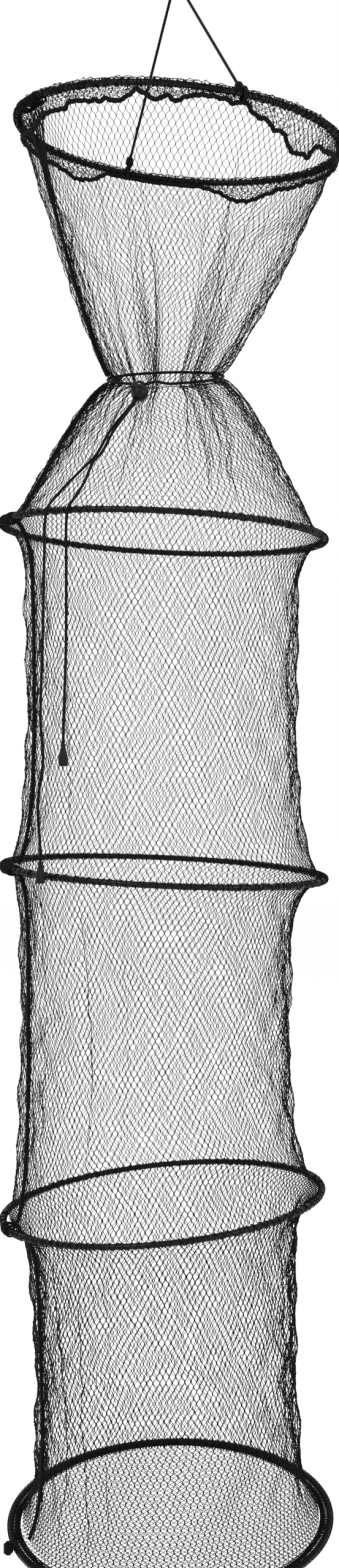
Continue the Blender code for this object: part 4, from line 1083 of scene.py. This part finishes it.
def make_side_seam(section):
    """The lacing that closes a section's seam, and the gathered edges of the netting beside it."""
    shares = np.linspace(*LACING_ENDS_SHARES[section], SEAM_STEPS)
    out = NET_WALL / 2 + 2 * FIT + LACING_RADIUS
    line = wall(section, np.full(SEAM_STEPS, LACING_AZIMUTH), shares, out)
    angle = math.radians(LACING_AZIMUTH)
    laid_rope(f"lacing_{section}", line, LACING_RADIUS * LACING_PLY_OFFSET_SHARE,
              LACING_RADIUS * LACING_PLY_RADIUS_SHARE, LACING_LAY, (math.cos(angle), math.sin(angle), 0.0), 8,
              SPANS[section], (f"side_lacing_{section}",))
    draw = np.random.default_rng(SIDE_SEAM_SEED)
    edges = []
    for aside in SEAM_EDGES[section]:
        stray = np.cumsum(draw.normal(size=SEAM_STEPS)) * SEAM_EDGE_STRAY
        stray -= np.linspace(stray[0], stray[-1], SEAM_STEPS)
        stray = np.clip(stray, -SEAM_EDGE_STRAY_MOST, SEAM_EDGE_STRAY_MOST)
        proud = NET_WALL + draw.normal(size=SEAM_STEPS) * SEAM_EDGE_SCATTER
        edges.append(wall(section, LACING_AZIMUTH + aside + stray, shares, proud))
    strands(f"seam_edges_{section}", edges, SEAM_EDGE_RADIUS, SPANS[section], sides=5)


def make_hoop(plane):
    """A hoop of hollow tube, open by a hair where its ends meet over the plug."""
    shape = bmesh.new()
    gap_angle = JOINT_GAP / HOOP_RADIUS
    starts, ends = [], []
    for radius in (TUBE_RADIUS, TUBE_RADIUS - TUBE_WALL):
        ring = bmesh.ops.create_circle(shape, segments=TUBE_SIDES, radius=radius)["verts"]
        bmesh.ops.rotate(shape, verts=ring, cent=(0, 0, 0), matrix=Matrix.Rotation(math.pi / 2, 3, "X"))
        bmesh.ops.translate(shape, verts=ring, vec=(HOOP_RADIUS, 0.0, 0.0))
        edges = [edge for edge in shape.edges if edge.is_wire]
        spun = bmesh.ops.spin(shape, geom=ring + edges, axis=(0.0, 0.0, 1.0), cent=(0.0, 0.0, 0.0),
                              angle=2 * math.pi - gap_angle, steps=HOOP_STEPS, use_merge=False)
        starts += edges
        ends += [part for part in spun["geom_last"] if isinstance(part, bmesh.types.BMEdge)]
    bmesh.ops.bridge_loops(shape, edges=starts)
    bmesh.ops.bridge_loops(shape, edges=ends)
    bmesh.ops.recalc_face_normals(shape, faces=shape.faces)
    thing = solid(f"{plane}_tube", shape, TUBE)
    turn, centre = PLANES[plane]
    start = Matrix.Rotation(math.radians(JOINT_AZIMUTH) + gap_angle / 2, 4, "Z")
    thing.data.transform(Matrix.Translation(Vector(centre)) @ Matrix(turn.tolist()).to_4x4() @ start)
    carried(thing, HOOP_BODIES[plane], (f"{plane}_hoop",))


def make_mesh_loops(plane, count, seed):
    """Meshes of the netting looped over a hoop, one small ring of thread a mesh."""
    draw = np.random.default_rng(seed)
    turn = np.arange(MESH_LOOP_POINTS) * 360.0 / MESH_LOOP_POINTS
    loops = []
    for column in range(count):
        azimuth = LACING_AZIMUTH + 360.0 * (column + draw.normal() * MESH_LOOP_SCATTER) / count
        lean = draw.normal() * MESH_LOOP_LEAN
        reach = TUBE_RADIUS + MESH_LOOP_RADIUS + FIT * draw.uniform(0.2, 1.2)
        out = HOOP_RADIUS + reach * np.cos(np.radians(turn))
        lift = reach * np.sin(np.radians(turn))
        loops.append(on_plane(plane, out, azimuth + lean * np.sin(np.radians(turn)), lift))
    strands(f"mesh_loops_{plane}", loops, MESH_LOOP_RADIUS, HOOP_BODIES[plane], closed=True)


def ragged_drop(azimuth, below):
    """Drop of the cuff's ragged edge below the hoop, with small tucks where the rope gathers it."""
    turn = np.asarray(azimuth) / 360.0
    tucks = sum(np.sin(2 * math.pi * (turn * count + phase)) for count, phase in CUFF_TUCKS) / len(CUFF_TUCKS)
    drop = CUFF_DROP * smooth_table(CUFF_SCALLOPS_SHARES, azimuth) - CUFF_HEM + CUFF_TUCK * tucks
    return np.maximum(drop, CUFF_HEM) + TUBE_RADIUS + below


def cuff_outside(azimuth, drop):
    """Points of the cuff's outer leaf at a drop below the hoop."""
    share = np.maximum(0.0, (drop - CUFF_LIFT) / (NECK_DROP + PLANES["mouth"][1][2]))
    turn, centre = PLANES["mouth"]
    rest = (wall("mouth", azimuth, share, NET_WALL + FIT * 3) - centre) @ turn
    return on_plane("mouth", np.hypot(rest[:, 0], rest[:, 1]), azimuth, -drop)


def cuff_layer(seed, scatter):
    """A grid of joins for one layer of the cuff: up the hoop's inner side, over it and down outside."""
    draw = np.random.default_rng(seed)
    azimuth = LACING_AZIMUTH + 360.0 * np.arange(COLUMNS) / COLUMNS
    drop = ragged_drop(azimuth, 0.0)
    over = TUBE_RADIUS + FIT + NET_WALL / 2
    rows = [on_plane("mouth", HOOP_RADIUS - over, azimuth, -CUFF_INNER_DROP * share) for share in (1.0, 0.5)]
    for step in range(CUFF_ROWS_OVER):
        angle = math.pi * (1.0 - step / (CUFF_ROWS_OVER - 1))
        reach = over + np.abs(draw.normal(size=COLUMNS)) * CUFF_PROUD * math.sin(angle)
        lift = reach * math.sin(angle)
        rows.append(on_plane("mouth", HOOP_RADIUS + reach * math.cos(angle), azimuth, lift))
    for step in range(1, CUFF_ROWS_OUTSIDE + 1):
        stray = draw.normal(size=COLUMNS) * CUFF_STRAY
        row = cuff_outside(azimuth + stray, drop * step / CUFF_ROWS_OUTSIDE)
        rows.append(row + draw.normal(size=row.shape) * scatter)
    return np.array(rows)


def make_cuff():
    """The netting folded over the mouth hoop, its ragged edge, and the rope laced through that edge."""
    for name, seed, scatter, stands_for in CUFF_LAYERS:
        grid = cuff_layer(seed, scatter)
        strands(name, weave(grid), THREAD_RADIUS, "mouth", stands_for, thick_lines=joins(grid))
    draw = np.random.default_rng(CUFF_EDGE_SEED)
    fine = LACING_AZIMUTH + 360.0 * np.arange(SELVEDGE_STEPS + 1) / SELVEDGE_STEPS
    line = cuff_outside(fine, ragged_drop(fine, NET_WALL / 2 + FIT))
    line[:-1] += draw.normal(size=(SELVEDGE_STEPS, 3)) * SELVEDGE_SCATTER
    line[-1] = line[0]
    laid_rope("selvedge_twisted_rope", line, SELVEDGE_PLY_OFFSET, SELVEDGE_PLY_RADIUS, SELVEDGE_LAY,
              (0.0, 0.0, 1.0), 9, "mouth", ("selvedge_rope",))
    make_cut_ends(draw)


def make_cut_ends(draw):
    """Cut ends of thread that stick out of the cuff's edge, but not at the hitches."""
    azimuths = draw.uniform(0.0, 360.0, CUT_ENDS)
    for anchor in (BACK_ANCHOR_AZIMUTH, FRONT_ANCHOR_AZIMUTH):
        azimuths = azimuths[np.abs(azimuths - anchor) > CUT_END_CLEARANCE]
    ends = []
    for azimuth in azimuths:
        start = cuff_outside(np.array([azimuth]), ragged_drop(np.array([azimuth]), 0.0))[0]
        way = unit(draw.normal(size=3) + (0.0, 0.0, -0.5))
        length = draw.uniform(*CUT_END_LENGTHS)
        bend = start + way * length * CUT_END_BEND_SHARE + draw.normal(size=3) * CUT_END_SCATTER
        tip = bend + unit(way + draw.normal(size=3) * 0.5) * length * (1.0 - CUT_END_BEND_SHARE)
        ends.append(np.array([start, bend, tip]))
    strands("selvedge_cut_ends", ends, CUT_END_RADIUS, "mouth")


def make_seam_turns(plane, azimuths, count, seed):
    """Turns of the lacing round a hoop and the seam beside it."""
    draw = np.random.default_rng(seed)
    angle = np.radians(np.arange(SEAM_TURN_POINTS) * 360.0 / SEAM_TURN_POINTS)
    turns = []
    for azimuth in np.linspace(*azimuths, count) + draw.normal(size=count) * SEAM_TURN_STRAY:
        proud = TUBE_RADIUS + draw.uniform(*SEAM_TURN_PROUD)
        inward = proud + draw.uniform(*SEAM_TURN_REACH_SHARES) * LACING_PULL
        out = np.where(np.cos(angle) > 0.0, proud, inward) * np.cos(angle)
        tall = proud * np.sin(angle) - draw.uniform() * SEAM_TURN_SLACK
        lean = draw.normal() * SEAM_TURN_LEAN
        turns.append(on_plane(plane, HOOP_RADIUS + out, azimuth + lean * np.sin(angle), tall))
    strands(f"seam_turns_{plane}", turns, SEAM_TURN_RADIUS, HOOP_BODIES[plane], (), 6, closed=True)


def make_seam_top():
    """The bands of gathered netting that run from the mouth hoop into the side seam."""
    draw = np.random.default_rng(SEAM_TOP_SEED)
    shares = np.linspace(0.0, SEAM_TOP_LENGTH_SHARE, SEAM_TOP_STEPS)
    left_to_run = (1.0 - shares / SEAM_TOP_LENGTH_SHARE) ** SEAM_TOP_POWER
    bands = []
    for start in SEAM_TOP_BANDS:
        wander = np.sin(shares * draw.uniform(*SEAM_TOP_WAVES) + start) * 0.5
        azimuths = LACING_AZIMUTH + (start - LACING_AZIMUTH + wander) * left_to_run
        out = SEAM_TOP_OUT + draw.normal(size=SEAM_TOP_STEPS) * SEAM_TOP_SCATTER
        bands.append(wall("mouth", azimuths, shares, out))
    strands("seam_top_bands", bands, SEAM_TOP_RADIUS, SPANS["mouth"], (), 6)


def make_bottom_edge():
    """The rope inside the bottom hoop, and the netting's edge whipped round both."""
    rope_line = on_plane("bottom", HOOP_RADIUS - BOTTOM_ROPE_SET_IN, 360.0 * np.arange(361) / 360)
    laid_rope("bottom_twisted_rope", rope_line, BOTTOM_ROPE_RADIUS * BOTTOM_PLY_OFFSET_SHARE,
              BOTTOM_ROPE_RADIUS * BOTTOM_PLY_RADIUS_SHARE, BOTTOM_LAY, (0.0, 0.0, 1.0), 8, "bottom_ring",
              ("bottom_rope",))
    inner = HOOP_RADIUS - BOTTOM_ROPE_SET_IN - BOTTOM_ROPE_RADIUS
    middle = (inner + HOOP_RADIUS + TUBE_RADIUS) / 2
    half_long = HOOP_RADIUS + TUBE_RADIUS - middle + WHIP_RADIUS + FIT
    half_tall = TUBE_RADIUS + WHIP_RADIUS + FIT
    angle = 2 * math.pi * np.arange(WHIP_TURNS * WHIP_STEPS + 1) / WHIP_STEPS
    across, upright = [np.sign(wave) * np.abs(wave) ** power
                       for wave, power in zip((np.cos(angle), np.sin(angle)), WHIP_SQUARE_POWERS)]
    azimuths = LACING_AZIMUTH + 360.0 * np.arange(len(angle)) / (len(angle) - 1)
    whip = on_plane("bottom", middle + half_long * across, azimuths, half_tall * upright)
    strands("edge_whipping", [whip], WHIP_RADIUS, "bottom_ring", ("net_bottom_fold",), sides=4)


def make_floor():
    """The bottom panel: netting gathered a little, sagging from the rope inside the bottom hoop."""
    turn, centre = PLANES["bottom"]
    reach = HOOP_RADIUS - BOTTOM_ROPE_SET_IN - BOTTOM_ROPE_RADIUS
    pitch = JOIN_LENGTH + math.sqrt(BAR_LENGTH**2 - FLOOR_HALF_MESH**2)
    columns = int(reach / FLOOR_HALF_MESH)
    rows = int(reach / pitch / FLOOR_GATHER_SHARE) + 1
    lines = []
    for column in range(-columns, columns):
        spots = []
        for row in range(-rows, rows + 1):
            swing = (column + row) % 2
            x = (column + swing) * FLOOR_HALF_MESH + (JOIN_GAP if swing == 0 else -JOIN_GAP)
            spots += [(x, (row * pitch + end * JOIN_LENGTH / 2) * FLOOR_GATHER_SHARE) for end in (-1, 1)]
        spots = np.array(spots)
        inside = spots[np.hypot(spots[:, 0], spots[:, 1]) < reach]
        if len(inside) > 3:
            share = np.hypot(inside[:, 0], inside[:, 1]) / reach
            lift = -2 * NET_WALL - PANEL_SAG * (1.0 - share**2)
            lines.append(np.column_stack([inside, lift]) @ turn.T + centre)
    strands("netting_floor", lines, THREAD_RADIUS * FLOOR_THREAD_THICKER, "bottom_ring", ("bottom_net",))


def make_seam_knot():
    """The side lacing's last knot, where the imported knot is."""
    low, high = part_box("seam_knot")
    foot = Vector(((low.x + high.x) / 2, (low.y + high.y) / 2, low.z))
    coil_knot("seam_knot_turns", foot, (0.0, 0.0, 1.0), (high.x - low.x) / 2, high.z - low.z,
              LACING_RADIUS * 0.8, 4, "bottom_ring", "seam_knot")


def lock_matrix():
    """The cord lock's own frame: Z along the button's way out and X along the tails' way out."""
    return Matrix.Translation(LOCK_CENTRE) @ Matrix((LEAVE, BESIDE, BUTTON)).transposed().to_4x4()


def cut_passage(thing, tall, lift):
    """Cuts the cords' straight passage through a piece of the lock."""
    shape = bmesh.new()
    bmesh.ops.create_cube(shape, size=1.0)
    bmesh.ops.scale(shape, verts=shape.verts, vec=(6 * LOCK_RADIUS, PASSAGE_WIDE, tall))
    edges = [edge for edge in shape.edges if abs(edge.verts[0].co.x - edge.verts[1].co.x) > LOCK_RADIUS]
    bmesh.ops.bevel(shape, geom=edges, offset=PASSAGE_CORNER, offset_type="OFFSET", segments=4, profile=0.5,
                    affect="EDGES", material=-1)
    bmesh.ops.translate(shape, verts=shape.verts, vec=(0.0, 0.0, lift))
    cutter = solid("passage", shape, smooth=False)
    cutter.data.transform(lock_matrix())
    cut = thing.modifiers.new("passage", "BOOLEAN")
    cut.operation = "DIFFERENCE"
    cut.object = cutter
    mesh = evaluated_mesh(thing)
    mesh.name = thing.name
    thing.modifiers.clear()
    thing.data = mesh
    bpy.data.objects.remove(cutter)


def lock_piece(name, profile, passage_tall, passage_lift, body, node):
    """A turned piece of the cord lock with the cords' passage through it."""
    thing = turned(name, profile, ABS, 48)
    thing.data.transform(lock_matrix())
    cut_passage(thing, passage_tall, passage_lift)
    carried(thing, body, (node,))


def make_lock():
    """The cord lock's ball and plunger with their passages, and the spring between them."""
    start = math.acos(WELL_RADIUS / LOCK_RADIUS)
    profile = [(0.0, -WELL_DEPTH), (WELL_RADIUS, -WELL_DEPTH), (WELL_RADIUS, LOCK_RADIUS * math.sin(start))]
    for step in range(1, 25):
        angle = start - (start + math.pi / 2) * step / 24
        profile.append((max(LOCK_RADIUS * math.cos(angle), 0.0), LOCK_RADIUS * math.sin(angle)))
    lock_piece("cord_lock_shell", profile, PASSAGE_TALL, 0.0, "cord_lock", "cord_lock_ball")
    head = LOCK_RADIUS + PLUNGER_PROUD
    profile = [(0.0, head - PLUNGER_DISH), (PLUNGER_RADIUS * 0.45, head - PLUNGER_DISH * 0.7),
               (PLUNGER_RADIUS * 0.80, head), (PLUNGER_RADIUS * 0.93, head - PLUNGER_EDGE * 0.3),
               (PLUNGER_RADIUS, head - PLUNGER_EDGE), (PLUNGER_RADIUS, PLUNGER_FOOT), (0.0, PLUNGER_FOOT)]
    lock_piece("cord_lock_button", profile, WINDOW_TALL, PRESS_DEPTH / 2, "lock_button", "cord_lock_plunger")
    low = -WELL_DEPTH + FIT + SPRING_WIRE
    high = PLUNGER_FOOT - FIT - SPRING_WIRE
    axle = [LOCK_CENTRE + BUTTON * (low + (high - low) * step / 8) for step in range(9)]
    coil = helix(axle, SPRING_RADIUS, (high - low) / SPRING_TURNS, LEAVE, steps=24)
    spring = strands("cord_lock_coil", [coil], SPRING_WIRE, "cord_lock", ("cord_lock_spring",),
                     8, STEEL)
    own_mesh(spring)


def finish_packed_nodes():
    """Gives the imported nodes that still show, the hoops' plugs, their real finish."""
    for thing in frame["nodes"].values():
        if not thing.hide_render:
            thing.data.materials.clear()
            thing.data.materials.append(ABS)


def make_studio():
    """A white floor well below the net, a white surround and two soft lights."""
    shape = bmesh.new()
    bmesh.ops.create_grid(shape, x_segments=1, y_segments=1, size=FLOOR_SIZE)
    bmesh.ops.translate(shape, verts=shape.verts, vec=(0.0, 0.0, FLOOR_HEIGHT))
    solid("studio_floor", shape, PAINT, smooth=False)
    world = bpy.data.worlds.new("studio")
    world.use_nodes = True
    world.node_tree.nodes["Background"].inputs["Color"].default_value = linear("ffffff")
    world.node_tree.nodes["Background"].inputs["Strength"].default_value = 1.0
    bpy.context.scene.world = world
    bpy.context.scene.view_settings.view_transform = "Standard"
    for name, place, size, power in STUDIO_LIGHTS:
        light = bpy.data.lights.new(name, "AREA")
        light.size = size
        light.energy = power
        thing = link(bpy.data.objects.new(name, light))
        thing.location = place
        thing.rotation_euler = (Vector(STUDIO_AIM) - Vector(place)).to_track_quat("-Z", "Y").to_euler()


# The camera and the cords first, then the netting from the mouth down, the hoops and what is on them
make_camera()
APEX = make_hanging_loop()
make_bridle_leg("back", BACK_ANCHOR_AZIMUTH, APEX)
make_bridle_leg("front", FRONT_ANCHOR_AZIMUTH, APEX)
make_drawcord()
make_tail("short", 1.0, SHORT_TAIL_OVER, SHORT_TAIL_DOWN, SHORT_TAIL_END)
make_tail("long", -1.0, LONG_TAIL_OVER, LONG_TAIL_DOWN, LONG_TAIL_END)
for NAME in SECTIONS:
    make_netting(NAME)
    make_side_seam(NAME)
for NAME in HOOP_BODIES:
    make_hoop(NAME)
for SEED, (NAME, COUNT) in enumerate(MESH_LOOPS.items(), MESH_LOOPS_SEED):
    make_mesh_loops(NAME, COUNT, SEED)
make_cuff()
for SEED, (NAME, (TURN_AZIMUTHS, COUNT)) in enumerate(SEAM_TURNS.items(), SEAM_TURNS_SEED):
    make_seam_turns(NAME, TURN_AZIMUTHS, COUNT, SEED)
make_seam_top()
make_bottom_edge()
make_floor()
make_seam_knot()
make_lock()
finish_packed_nodes()
make_studio()
